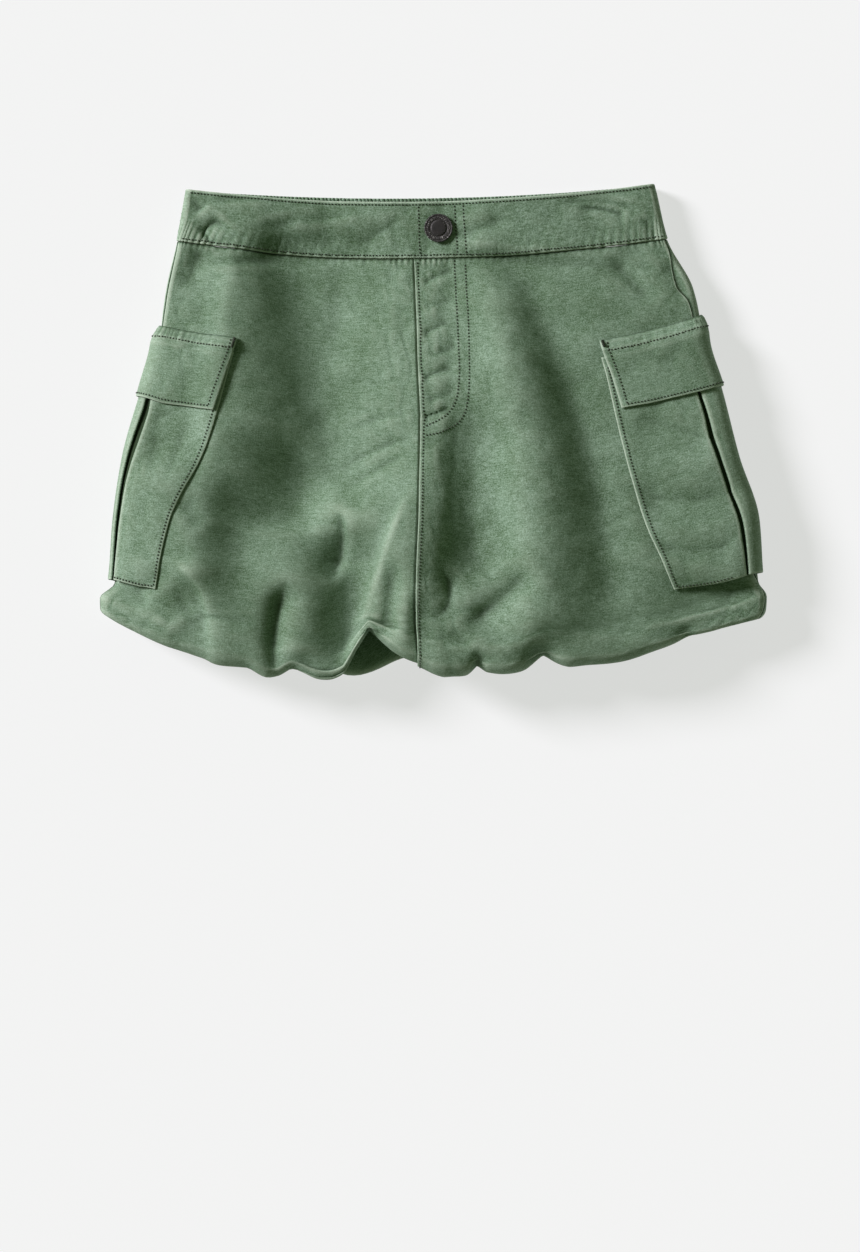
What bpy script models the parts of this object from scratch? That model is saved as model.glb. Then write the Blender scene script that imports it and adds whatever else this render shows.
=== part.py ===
"""A cargo balloon skirt in washed cotton twill, lying flat on its back.

The skirt is a tube of cloth. It hangs from a waistband, swells towards the hem, turns under there and
is drawn in by a narrow band, so that the hem balloons. Each row of SECTIONS is one closed ring round
that tube, from the waistband's top down to the hem, under it and back up inside to the hem band. Every
piece of cloth is a grid laid on those rings and thickened to a wall. What is sewn on top, the pockets
and their flaps, is laid on the same rings and moved out.

Frame: X to the right as it lies, Y towards the waist, Z up from the surface that the skirt lies on.
Tables are in millimetres.
"""

import math
from collections import namedtuple

import bmesh
import bpy
import numpy as np
from mathutils import Matrix, Vector

MM = 0.001

# ---------------------------------------------------------------- walls and gaps
CLOTH = 1.2  # the twill
BAND_CLOTH = 2.4  # the folded front waistband
ELASTIC_CLOTH = 3.0  # the back waistband, with its elastic inside
POCKET_CLOTH = 1.0
FLAP_CLOTH = 1.5
HEM_BAND_CLOTH = 1.6
SEAM_GAP = 0.3
LYING_GAP = 0.55  # between a panel and what is sewn flat on it
LAP = 6.0  # how far the right front lies over the left one at the centre seam
LAP_GAP = 0.9  # between the two there, where both are gathered
LAP_SLOPE = (LAP + 2.0, LAP + 16.0)  # the right front comes down again this far from its edge

# ---------------------------------------------------------------- the tube
# One ring a row. `run` is the length of cloth below the waist seam, down the centre front.
# left, y_left, right, y_right: the two side folds. sag, sag_back: how much lower the centre hangs.
# bow_left, bow_right: how round that sag is on either side.
# crown, side, floor: heights of the centre front, the side folds and the centre back.
# lift: height of the back near its sides, where it lies on the pockets.
# folds: share of the front's folds that reaches this ring.
Section = namedtuple(
    "Section",
    "name run left y_left right y_right sag sag_back bow_left bow_right crown side floor lift folds",
)
SECTIONS = [
    Section("waist top", -34, -146.6, 144.4, 131.2, 147.6, 9.6, 6.4, 2, 2, 13.5, 7.2, 1.6, 1.6, 0),
    Section("waist seam", 0, -152.2, 113.2, 138.0, 114.4, 11, 8, 2, 2, 17, 8.5, 1.5, 1.6, 0),
    Section("high hip", 31, -158.6, 84.9, 152.6, 84.9, 13, 11, 2, 2, 23, 10, 0.6, 3.4, 1),
    Section("flap top", 52, -161.2, 65.8, 157.2, 66.8, 15, 13, 2.1, 2.1, 27, 11, 0.6, 4.8, 1),
    Section("pocket mouth", 68, -162.3, 51.2, 159.4, 51.8, 16, 14, 2.2, 2.2, 30, 11.5, 0.6, 4.8, 1),
    Section("flap edge", 98, -169.2, 24.9, 168.8, 24.9, 19, 17, 2.3, 2.3, 34, 12, 0.6, 4.6, 1),
    Section("mid pocket", 145, -180.8, -17.1, 179.4, -17.1, 24, 22, 2.4, 2.4, 39, 12.5, 0.6, 2.7, 1),
    Section("low pocket", 187, -186.2, -53.1, 190.8, -53.1, 29, 27, 2.6, 2.5, 42, 12.5, 0.6, 2.5, 1),
    Section("pocket foot", 227, -189.5, -91.4, 193.8, -90.4, 30, 28, 2.7, 2.4, 41, 12, 0.6, 2.5, 1),
    Section("hem swell", 239, -198.2, -100.5, 198.8, -100.0, 32, 24, 2.9, 2.2, 38.5, 12, 0.6, 1.6, 1),
    Section("hem turn", 250, -198.0, -107.5, 198.2, -109.5, 36, 24, 3.2, 2.1, 32, 12, 0.9, 1.6, 1),
    Section("hem edge", 260.5, -193.0, -111.5, 194.0, -114.0, 38.5, 24, 3.4, 2, 23, 12.5, 2.6, 3.0, 1),
    Section("hem under", 269, -187.5, -110.0, 189.0, -111.5, 35, 22.5, 3.2, 2.1, 17.2, 13, 4.4, 4.6, 0.8),
    Section("return", 281, -181.0, -101.5, 182.0, -103.0, 27, 19, 2.7, 2.3, 15.8, 13, 4.5, 5.8, 0.3),
    Section("return end", 303, -167.0, -86.0, 168.0, -86.5, 19, 12, 2.4, 2.4, 15.6, 13, 4.5, 6.4, 0),
    Section("hem band", 317, -162.0, -73.0, 163.0, -73.5, 18, 12, 2.4, 2.4, 15.6, 13, 4.5, 6.4, 0),
]
WAIST_TOP, WAIST_SEAM = -34.0, 0.0
HEM_EDGE, RETURN_END, BAND_END = 260.5, 303.0, 317.0
EVEN = 0.5  # evens out the length of cloth that each turn of a ring holds
SHOULDER = 1.3  # how soon the front falls away from its crown: higher is sooner
LIFT_FROM, LIFT_TO = 0.55, 0.68  # share of the half width where the back rises onto the pockets

# The seams, in plan: the left side seam on the side fold, the centre front seam, and the right side
# seam, which lies on the front.
Seam = namedtuple("Seam", "run left_turn centre right")
SEAMS = [
    Seam(0, -0.985, -11.0, 139.4),
    Seam(20, -0.97, -10.0, 144.5),
    Seam(60, -0.97, -8.8, 156.0),
    Seam(165, -0.97, -6.0, 182.0),
    Seam(215, -0.97, -8.8, 188.0),
    Seam(260, -0.97, -9.0, 182.0),
    Seam(303, -0.97, -9.0, 160.0),
]

# Folds, in plan. Each runs from (x0, y0) through (x1, y1) to (x2, y2). depth is negative for a trough
# and positive for a ridge. wide_left and wide_right are its reach to either side, seen with its start
# at the top. fade_in and fade_out are the shares of its length over which it dies out.
Fold = namedtuple("Fold", "name x0 y0 x1 y1 x2 y2 depth wide_left wide_right fade_in fade_out")
FRONT_FOLDS = [
    Fold("hip ridge", -122, 112, -122, 60, -126, 0, 3, 18, 22, 0.2, 0.5),
    Fold("left valley", -82, 108, -68, 20, -78, -62, -12, 40, 15, 0.3, 0.25),
    Fold("left bulge", -150, -78, -110, -72, -62, -84, 4, 14, 18, 0.3, 0.3),
    Fold("left cusp", -122, -112, -126, -128, -130, -178, -4, 10, 10, 0.5, 0.1),
    Fold("lower left valley", -58, -40, -54, -92, -66, -178, -8, 22, 11, 0.35, 0.1),
    Fold("lower left ridge", -18, -30, -28, -80, -44, -135, 4, 14, 12, 0.4, 0.4),
    Fold("tuck beside the seam", -40, -118, -25, -136, -21, -178, -14, 20, 10, 0.4, 0.1),
    Fold("seam pull", -8, -110, -7, -130, -5, -178, -3, 14, 14, 0.4, 0.1),
    Fold("valley beside the seam", 20, 26, 26, -36, 20, -96, -5, 14, 16, 0.3, 0.4),
    Fold("low crease", 44, -96, 22, -112, 25, -178, -5, 10, 9, 0.3, 0.1),
    Fold("right ridge", 44, -30, 51, -70, 44, -140, 3, 12, 14, 0.4, 0.3),
    Fold("right valley", 34, 100, 90, -4, 108, -136, -8, 26, 15, 0.25, 0.35),
    Fold("right tuck", 56, -118, 65, -132, 68, -178, -12, 14, 12, 0.4, 0.1),
    Fold("corner tuck", 144, -104, 149, -122, 152, -170, -5, 14, 11, 0.4, 0.1),
]
BACK_FOLDS = [
    Fold("back left valley", -70, 80, -58, 0, -66, -120, 2.4, 24, 20, 0.3, 0.3),
    Fold("back right valley", 74, 80, 62, 0, 70, -120, 2.0, 22, 24, 0.3, 0.3),
]
FOLD_STEPS = 16  # straight steps that a fold's line is taken in
NUDGE = 0.003  # the turn over which a slope round the tube is measured
SEAM_CALM = 26.0  # folds grow to their depth over this run below the waist seam
SIDE_CALM = 0.5  # and over this share of the way from the side fold towards the middle

# ---------------------------------------------------------------- pockets and flaps
# A patch lies round a side fold. Each row is one level of it, from 0 at the top to 1 at the foot:
# the plan x of its front edge, the turn of its pleat, and the plan x of its rear edge on the back.
Level = namedtuple("Level", "down front pleat rear")
# top and foot: runs of the top and bottom edges, at the front edge and from the side fold on.
Patch = namedtuple("Patch", "name top_front top_side foot_front foot_side levels")
LEFT_POCKET = Patch(
    "pocket_left", 66, 66, 220, 225,
    [Level(0, -118.5, -0.91, -122), Level(0.5, -139, -0.925, -146), Level(1, -163.7, -0.94, -170)],
)
RIGHT_POCKET = Patch(
    "pocket_right", 66, 62, 215, 221,
    [Level(0, 103.5, 0.83, 126), Level(0.5, 121.5, 0.865, 146), Level(1, 143.9, 0.883, 164)],
)
LEFT_FLAP = Patch(
    "flap_left", 54, 54.5, 99.5, 101.5,
    [Level(0, -117.5, -0.91, -119), Level(1, -132.1, -0.91, -129)],
)
RIGHT_FLAP = Patch(
    "flap_right", 54.5, 48.5, 95.5, 93,
    [Level(0, 99.7, 0.83, 122), Level(1, 114.7, 0.84, 133)],
)
SEAT = CLOTH / 2 + LYING_GAP + POCKET_CLOTH / 2  # a pocket stitched down, from the panel's middle
LAYER = POCKET_CLOTH + SEAM_GAP  # the three layers of the box pleat lie this far apart
UNDERLAY_RISE = 0.6  # how far the pleat's lowest layer stands off the panel
PLEAT_GAP = 2.4  # open width of the box pleat
PLEAT_TUCK = 8.0  # how far each side of it folds under
FLAP_SEAT = CLOTH / 2 + LYING_GAP + FLAP_CLOTH / 2
FLAP_CLEAR = POCKET_CLOTH / 2 + LYING_GAP + SEAM_GAP + FLAP_CLOTH / 2
FLAP_STEP = 0.16  # share of a flap's depth over which it steps out onto the pocket

# ---------------------------------------------------------------- the button
BUTTON_X, BUTTON_RUN = 3.4, -17.8
BUTTON_RADIUS, BUTTON_HEIGHT = 8.5, 3.6
BUTTON_STEPS = 28

# ---------------------------------------------------------------- cells of each grid: across, down
PANEL_ROWS = 18  # the same for all panels, so that their side seams run parallel
FRONT_CELLS, BACK_CELLS = (24, PANEL_ROWS), (20, PANEL_ROWS)
BAND_CELLS, HEM_BAND_CELLS = (26, 2), (24, 1)
POCKET_ROWS, FLAP_CELLS = 8, (18, 5)
FRONT_CROWD, BACK_CROWD, BAND_CROWD = 0.5, 0.75, 0.85  # how much closer the cells are at the sides

TWILL_GREEN = (0.155, 0.235, 0.150)
BUTTON_METAL = (0.030, 0.026, 0.027)


# ---------------------------------------------------------------- curves through the tables
def through(places, values, at):
    """A smooth curve through a table's values that never overshoots them, read at given places."""
    places, values = np.asarray(places, float), np.asarray(values, float)
    rise = np.diff(values) / np.diff(places)
    both = rise[:-1] * rise[1:]
    mean = 2 * both / np.where(both > 0, rise[:-1] + rise[1:], 1.0)
    slopes = np.concatenate([[rise[0]], np.where(both > 0, mean, 0.0), [rise[-1]]])
    i = np.clip(np.searchsorted(places, at) - 1, 0, len(places) - 2)
    span = places[i + 1] - places[i]
    u = np.clip((at - places[i]) / span, 0.0, 1.0)
    ease = u * u * (3 - 2 * u)
    lean = u * (1 - u) ** 2 * slopes[i] - u * u * (1 - u) * slopes[i + 1]
    return values[i] * (1 - ease) + values[i + 1] * ease + span * lean


def column(name, run):
    """One column of SECTIONS at the given runs."""
    return through([s.run for s in SECTIONS], [getattr(s, name) for s in SECTIONS], run)


def seam(name, run):
    return through([s.run for s in SEAMS], [getattr(s, name) for s in SEAMS], run)


def level(patch, name, down):
    rows = patch.levels
    return through([r.down for r in rows], [getattr(r, name) for r in rows], down)


def ramp(low, high, value):
    """0 below low, 1 above high, smooth between."""
    u = np.clip((value - low) / (high - low), 0.0, 1.0)
    return u * u * (3 - 2 * u)


# ---------------------------------------------------------------- the form of the tube
def angle_of(turn):
    """Turn 0 is the centre front, 1 and -1 are the side folds, 2 is the centre back."""
    return math.pi / 2 * (turn - EVEN * np.sin(math.pi * turn) / math.pi)


def turn_at(x, run, on_back=False):
    """The turn at which the ring at this run has this plan x, on its front or its back."""
    turns = np.linspace(-1.0, 1.0, 401)
    left, right = column("left", run), column("right", run)
    share = np.clip((2 * x - left - right) / (right - left), -0.9999, 0.9999)
    turn = np.interp(np.arcsin(share), angle_of(turns), turns)
    return np.sign(turn) * 2 - turn if on_back else turn


def rolled(facing, width, height):
    """The share of a side fold's roll, a quarter circle of this height, that is climbed."""
    v = np.minimum(facing * np.sqrt(width / height), math.sqrt(2))
    return v * np.sqrt(1 - v * v / 4)


def ring(turn, run):
    """Points of the tube without folds: turn goes round it, run goes down the cloth."""
    angle = angle_of(turn)
    across, facing = np.sin(angle), np.cos(angle)
    left, right = column("left", run), column("right", run)
    width = (right - left) / 2
    is_front = facing >= 0
    y_side = column("y_left", run) * (1 - across) / 2 + column("y_right", run) * (1 + across) / 2
    sag = np.where(is_front, column("sag", run), column("sag_back", run))
    bow = np.where(across < 0, column("bow_left", run), column("bow_right", run))
    y = y_side - sag * (1 - np.abs(across) ** bow)
    side, lift, floor = column("side", run), column("lift", run), column("floor", run)
    roll = side - lift
    climbed = roll * rolled(np.abs(facing), width, roll)
    z_front = side + climbed + (column("crown", run) - side - roll) * np.abs(facing) ** SHOULDER
    z_back = side - climbed - (lift - floor) * (1 - ramp(LIFT_FROM, LIFT_TO, np.abs(across)))
    return np.stack([(left + right) / 2 + across * width, y, np.where(is_front, z_front, z_back)], -1)


def fold_line(fold):
    """Points along a fold, on a curve through its three places."""
    start, end = np.array([fold.x0, fold.y0]), np.array([fold.x2, fold.y2])
    bend = 2 * np.array([fold.x1, fold.y1]) - (start + end) / 2
    u = np.linspace(0.0, 1.0, FOLD_STEPS + 1)[:, None]
    return (1 - u) ** 2 * start + 2 * u * (1 - u) * bend + u**2 * end


def fold_height(folds, x, y):
    """How far the folds move the cloth out at points of the plan."""
    points = np.stack([x, y], -1)[..., None, :]
    total = np.zeros(np.shape(x))
    for fold in folds:
        line = fold_line(fold)
        step = np.diff(line, axis=0)
        off = points - line[:-1]
        u = np.clip((off * step).sum(-1) / (step**2).sum(-1), 0.0, 1.0)
        off = off - u[..., None] * step
        far = np.hypot(off[..., 0], off[..., 1])
        nearest = np.argmin(far, axis=-1)[..., None]
        far, u = np.take_along_axis(far, nearest, -1), np.take_along_axis(u, nearest, -1)
        turned = step[:, 0] * off[..., 1] - step[:, 1] * off[..., 0]
        is_right = np.take_along_axis(turned, nearest, -1) > 0
        wide = np.where(is_right, fold.wide_right, fold.wide_left)
        along = (nearest + u) / FOLD_STEPS
        body = ramp(0.0, fold.fade_in, along) * (1 - ramp(1 - fold.fade_out, 1.0, along))
        total += (fold.depth * body * np.exp(-((far / wide) ** 2)))[..., 0]
    return total


def normals(surface, turn, run):
    """Unit normals of surface(turn, run), pointing out of the tube."""
    across = surface(turn + NUDGE, run) - surface(turn - NUDGE, run)
    down = surface(turn, run + 0.5) - surface(turn, run - 0.5)
    n = np.cross(down, across)
    return n / np.linalg.norm(n, axis=-1, keepdims=True)


def shell(turn, run):
    """The middle of the twill's wall, with its folds."""
    turn, run = np.broadcast_arrays(np.asarray(turn, float), np.asarray(run, float))
    base = ring(turn, run)
    past_hem = np.maximum(run - HEM_EDGE, 0.0)
    plan_y = np.where(past_hem > 0, ring(turn, np.minimum(run, HEM_EDGE))[..., 1] - past_hem, base[..., 1])
    facing = np.cos(angle_of(turn))
    share = column("folds", run) * ramp(0.0, SEAM_CALM, run) * ramp(0.0, SIDE_CALM, np.abs(facing))
    front = fold_height(FRONT_FOLDS, base[..., 0], plan_y)
    back = -fold_height(BACK_FOLDS, base[..., 0], plan_y) * (past_hem == 0)
    moved = share * np.where(facing >= 0, front, back)
    return base + moved[..., None] * normals(ring, turn, run)


def out_from_shell(turn, run, offset):
    """Points that lie this far outside the middle of the panel's wall."""
    return shell(turn, run) + np.asarray(offset, float)[..., None] * normals(shell, turn, run)


def turns_in(length, turn, run):
    """The turn that a length of cloth takes up at this place on a ring."""
    return length * 2 * NUDGE / np.linalg.norm(ring(turn + NUDGE, run) - ring(turn - NUDGE, run), axis=-1)


# ---------------------------------------------------------------- making cloth in Blender
def new_collection(name):
    collection = bpy.data.collections.new(name)
    bpy.context.scene.collection.children.link(collection)
    return collection


def new_material(name, colour, roughness, metallic=0.0):
    material = bpy.data.materials.new(name)
    material.use_nodes = True
    shader = material.node_tree.nodes["Principled BSDF"]
    shader.inputs["Base Color"].default_value = (*colour, 1.0)
    shader.inputs["Roughness"].default_value = roughness
    shader.inputs["Metallic"].default_value = metallic
    return material


def cloth(name, cells, place, wall, material, collection):
    """A grid of cells (across, down), laid by place(across, down) and thickened to a wall.

    place takes two arrays of shares from 0 to 1 and returns the middle of the wall, in millimetres.
    """
    sheet = bmesh.new()
    bmesh.ops.create_grid(sheet, x_segments=cells[0], y_segments=cells[1], size=0.5)
    shares = np.array([v.co[:2] for v in sheet.verts]) + 0.5
    for vertex, point in zip(sheet.verts, place(shares[:, 0], 1.0 - shares[:, 1]) * MM):
        vertex.co = Vector(point)
    mesh = bpy.data.meshes.new(name)
    sheet.to_mesh(mesh)
    sheet.free()
    mesh.shade_smooth()
    mesh.materials.append(material)
    obj = bpy.data.objects.new(name, mesh)
    collection.objects.link(obj)
    thicken = obj.modifiers.new("wall", "SOLIDIFY")
    thicken.thickness = wall * MM
    thicken.offset = 0.0
    return obj


# ---------------------------------------------------------------- the panels
def panel_run(share):
    """Runs from the waist seam to the return's end, closer together round the hem."""
    return np.interp(share, [0.0, 0.60, 0.90, 1.0], [WAIST_SEAM + SEAM_GAP, 215.0, 281.0, RETURN_END])


def crowded(share, amount):
    """Shares from 0 to 1, moved closer together at both ends."""
    return share - amount * np.sin(2 * math.pi * share) / (2 * math.pi)


def front_left_place(across, down):
    run = panel_run(down)
    start, end = left_seam(run), turn_at(seam("centre", run) + LAP, run)
    return shell(start + crowded(across, FRONT_CROWD) * (end - start), run)


def front_right_place(across, down):
    """The right front. Its folded edge steps up onto the left front at the centre seam."""
    run = panel_run(down)
    start, end = turn_at(seam("centre", run), run), right_seam(run)
    turn = start + crowded(across, FRONT_CROWD) * (end - start)
    from_edge = (turn - start) / turns_in(1.0, turn, run)
    step = (CLOTH + LAP_GAP) * (1 - ramp(*LAP_SLOPE, from_edge))
    return out_from_shell(turn, run, step)


def right_seam(run):
    return turn_at(seam("right", run), run)


def left_seam(run):
    return seam("left_turn", run)


def seam_gap(side_seam, run):
    """The turn that the gap of a side seam takes up, square to the seam's slant."""
    turn = side_seam(run)
    slant = (side_seam(run + 1) - side_seam(run - 1)) / 2 / turns_in(1.0, turn, run)
    return turns_in(SEAM_GAP, turn, run) * np.hypot(1, slant)


def back_place(across, down):
    """The back, from the right side seam round underneath to the left one."""
    run = panel_run(down)
    start = right_seam(run) + seam_gap(right_seam, run)
    end = 4.0 + left_seam(run) - seam_gap(left_seam, run)
    return shell(start + crowded(across, BACK_CROWD) * (end - start), run)


def band_place(first_run, last_run, centre_turn):
    """Half of a band round the tube, centred on the front (0) or the back (2)."""

    def place(across, down):
        run = first_run + down * (last_run - first_run)
        half = 1.0 - turns_in(SEAM_GAP, 1.0, run)
        return ring(centre_turn + (2 * crowded(across, BAND_CROWD) - 1) * half, run)

    return place


# ---------------------------------------------------------------- pockets and flaps
def patch_edges(patch, down):
    """Turns of a patch's front edge, pleat and rear edge at this level of it."""
    run = patch.top_side + (patch.foot_side - patch.top_side) * down
    front = turn_at(level(patch, "front", down), run)
    rear = turn_at(level(patch, "rear", down), run, on_back=True)
    return front, level(patch, "pleat", down), rear


def patch_run(patch, turn, front, down):
    """The run at this turn: the top and foot slope from the front edge to the side fold."""
    to_side = np.clip((turn - front) / (np.sign(front) - front), 0.0, 1.0)
    top = patch.top_front + (patch.top_side - patch.top_front) * to_side
    foot = patch.foot_front + (patch.foot_side - patch.foot_front) * to_side
    return top + (foot - top) * down


def puff(share):
    """How high a pocket stands off its panel, from 0 to 1: share is -1 at its front edge, 0 at its
    pleat and 1 at its rear edge, which lies flat underneath."""
    return np.interp(share, [-1, -0.85, -0.6, -0.3, 0, 0.15, 0.35, 0.55, 1], [0, 0.3, 0.7, 1, 1, 1, 0.5, 0, 0])


def pocket_path():
    """The pocket's cloth from its front edge to its rear edge, as rows of (share, beside, layer).

    share runs from -1 to 1 as in puff. beside is the distance from there in millimetres. layer is 0 on
    the panel and 1 on the pocket's face, so the box pleat folds under at 0.5 and passes behind at 0.
    """
    lip, back, turn = PLEAT_GAP / 2, PLEAT_GAP / 2 + PLEAT_TUCK, LAYER / 2
    front_half = [(share, 0.0, 1.0) for share in (-1, -0.85, -0.65, -0.45, -0.25)]
    fold_under = [(-lip - turn, 1.0), (-lip, 0.9), (-lip, 0.6), (-lip - turn, 0.5)]
    fold_back = [(-back + turn, 0.5), (-back, 0.4), (-back, 0.1), (-back + turn, 0.0)]
    behind = [(-PLEAT_TUCK / 2, 0.0)]
    near = [(0.0, beside, layer) for beside, layer in fold_under + fold_back + behind]
    far = [(0.0, -beside, layer) for _, beside, layer in reversed(near)]
    rear_half = [(share, 0.0, 1.0) for share in (0.12, 0.2, 0.3, 0.4, 0.5, 0.62, 0.8, 1)]
    return front_half + near + [(0.0, 0.0, 0.0)] + far + rear_half


def pocket_place(patch):
    """Layer 1 rises with puff off the panel's seat; the pleat's layers lie one on another below it."""
    path = np.array(pocket_path())

    def place(across, down):
        i = np.rint(across * (len(path) - 1)).astype(int)
        share, beside, layer = path[i].T
        front, pleat, rear = patch_edges(patch, down)
        turn = np.where(share < 0, pleat + share * (pleat - front), pleat + share * (rear - pleat))
        turn = turn + np.sign(pleat) * turns_in(beside, pleat, (patch.top_side + patch.foot_side) / 2)
        offset = SEAT + (UNDERLAY_RISE + 2 * LAYER * layer) * puff(share)
        return out_from_shell(turn, patch_run(patch, turn, front, down), offset)

    return place, len(path) - 1


def pocket_face(pocket, turn, run):
    """Distance of the pocket's face from the panel's middle under a flap."""
    down = np.clip((run - pocket.top_side) / (pocket.foot_side - pocket.top_side), 0.0, 1.0)
    front, pleat, rear = patch_edges(pocket, down)
    half = np.where(np.abs(turn) < np.abs(pleat), pleat - front, rear - pleat)
    share = np.clip((turn - pleat) / half, -1.0, 1.0)
    return SEAT + (UNDERLAY_RISE + 2 * LAYER) * puff(share)


def flap_place(patch, pocket):
    """The flap is sewn to the panel above the pocket, and lies over the pocket below its mouth."""

    def place(across, down):
        down = np.interp(down, [0, 0.2, 0.4, 1], [0, FLAP_STEP / 2, FLAP_STEP, 1])
        front, _, rear = patch_edges(patch, down)
        turn = front + across * (rear - front)
        run = patch_run(patch, turn, front, down)
        over = pocket_face(pocket, turn, run) + FLAP_CLEAR
        return out_from_shell(turn, run, FLAP_SEAT + (over - FLAP_SEAT) * ramp(0.0, FLAP_STEP, down))

    return place


# ---------------------------------------------------------------- the button
def make_button(material, collection):
    """A turned metal button: a shank, a domed rim and a dished face, on the front waistband."""
    run = np.array([BUTTON_RUN])
    turn = turn_at(BUTTON_X, run)
    up = Vector(normals(ring, turn, run)[0])
    foot = Vector(ring(turn, run)[0]) + up * (BAND_CLOTH / 2 + SEAM_GAP)
    r, h = BUTTON_RADIUS, BUTTON_HEIGHT
    profile = [
        (0.0, h * 0.70),
        (r * 0.55, h * 0.72),
        (r * 0.66, h * 1.00),
        (r * 0.90, h * 0.96),
        (r, h * 0.70),
        (r * 0.96, h * 0.48),
        (r * 0.60, h * 0.38),
        (r * 0.42, h * 0.30),
        (r * 0.42, 0.0),
        (0.0, 0.0),
    ]
    mesh = bpy.data.meshes.new("button")
    edges = [(i, i + 1) for i in range(len(profile) - 1)]
    mesh.from_pydata([(x * MM, 0.0, z * MM) for x, z in profile], edges, [])
    mesh.materials.append(material)
    button = bpy.data.objects.new("button", mesh)
    collection.objects.link(button)
    screw = button.modifiers.new("turned", "SCREW")
    screw.axis = "Z"
    screw.angle = math.tau
    screw.steps = screw.render_steps = BUTTON_STEPS
    screw.use_merge_vertices = True
    screw.merge_threshold = 0.00001
    screw.use_smooth_shade = True
    button.matrix_world = Matrix.Translation(foot * MM) @ up.to_track_quat("Z", "Y").to_matrix().to_4x4()
    return button


# ---------------------------------------------------------------- the skirt
def main():
    for obj in list(bpy.data.objects):
        bpy.data.objects.remove(obj)
    skirt = new_collection("balloon_skirt")
    twill = new_material("twill", TWILL_GREEN, 0.85)
    metal = new_material("button metal", BUTTON_METAL, 0.35, 0.9)
    waist, hem = (WAIST_TOP, WAIST_SEAM), (RETURN_END + SEAM_GAP, BAND_END)
    cloth("front_left", FRONT_CELLS, front_left_place, CLOTH, twill, skirt)
    cloth("front_right", FRONT_CELLS, front_right_place, CLOTH, twill, skirt)
    cloth("back", BACK_CELLS, back_place, CLOTH, twill, skirt)
    cloth("waistband_front", BAND_CELLS, band_place(*waist, 0), BAND_CLOTH, twill, skirt)
    cloth("waistband_back", BAND_CELLS, band_place(*waist, 2), ELASTIC_CLOTH, twill, skirt)
    cloth("hem_band_front", HEM_BAND_CELLS, band_place(*hem, 0), HEM_BAND_CLOTH, twill, skirt)
    cloth("hem_band_back", HEM_BAND_CELLS, band_place(*hem, 2), HEM_BAND_CLOTH, twill, skirt)
    for pocket, flap in ((LEFT_POCKET, LEFT_FLAP), (RIGHT_POCKET, RIGHT_FLAP)):
        place, columns = pocket_place(pocket)
        cloth(pocket.name, (columns, POCKET_ROWS), place, POCKET_CLOTH, twill, skirt)
        cloth(flap.name, FLAP_CELLS, flap_place(flap, pocket), FLAP_CLOTH, twill, skirt)
    make_button(metal, skirt)


main()
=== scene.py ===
# %% [markdown]
# # A cargo balloon skirt, lying flat
#
# This script dresses the solids of a child's balloon skirt in cloth. The solids give the size and the
# place of every piece: two fronts, a back, two waistbands, two box-pleat pockets with flaps, a hem band
# and a button. Each of them is remade here as a thin sheet of washed green twill with its creases, its
# stitches and its worn edges.
#
# The first cell loads the solids. They stay where they are, and each new piece rides on them.

import math
from collections import namedtuple

import bpy
import numpy as np
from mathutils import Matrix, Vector


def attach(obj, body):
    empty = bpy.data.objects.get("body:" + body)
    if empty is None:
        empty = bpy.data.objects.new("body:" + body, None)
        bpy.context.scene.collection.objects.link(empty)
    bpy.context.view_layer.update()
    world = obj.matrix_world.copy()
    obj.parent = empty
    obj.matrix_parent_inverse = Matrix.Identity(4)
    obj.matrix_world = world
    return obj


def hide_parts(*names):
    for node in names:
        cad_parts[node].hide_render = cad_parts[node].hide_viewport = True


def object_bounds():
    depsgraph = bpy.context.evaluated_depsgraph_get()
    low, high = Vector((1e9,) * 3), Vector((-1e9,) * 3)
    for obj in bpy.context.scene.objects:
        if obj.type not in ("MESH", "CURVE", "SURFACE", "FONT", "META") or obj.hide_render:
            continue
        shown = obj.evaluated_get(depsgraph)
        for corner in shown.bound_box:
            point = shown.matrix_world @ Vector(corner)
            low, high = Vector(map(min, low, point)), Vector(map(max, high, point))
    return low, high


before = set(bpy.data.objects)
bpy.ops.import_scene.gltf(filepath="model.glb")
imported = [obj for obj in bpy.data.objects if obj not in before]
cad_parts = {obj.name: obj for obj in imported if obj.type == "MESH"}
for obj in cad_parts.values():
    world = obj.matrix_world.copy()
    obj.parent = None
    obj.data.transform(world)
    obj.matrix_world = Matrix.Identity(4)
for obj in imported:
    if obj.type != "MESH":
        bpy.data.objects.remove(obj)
solid_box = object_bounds()
MM = 0.001
size = (solid_box[1] - solid_box[0]) / MM
print(f"{len(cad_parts)} solids, {size.x:.0f} x {size.y:.0f} x {size.z:.0f} mm")

# %% [markdown]
# ## The tube that everything is sewn from
#
# A skirt is a tube. It could be sculpted by hand, but then no two pieces would meet. Here one small
# table gives it instead. Each row is a ring round the tube: the waistband's top, the waist seam, the
# hip, and so on down to the hem, where the cloth turns under and runs back up inside to the hem band.
# The numbers are millimetres. They are the solids' own, but for a fuller roll above the hem and small
# shifts of the seams.
#
# `run` is the way down the cloth. `left` and `right` are the side folds, each with its own y. `sag` is
# how far the middle hangs below them, in a curve that is the flatter the higher its `bow`. `crown`,
# `side`, `floor` and `lift` are heights: of the front's middle, the side folds, the back's middle and the
# back beside the pockets. `folds` is the share of the folds and rumples that reaches the ring.

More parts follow.
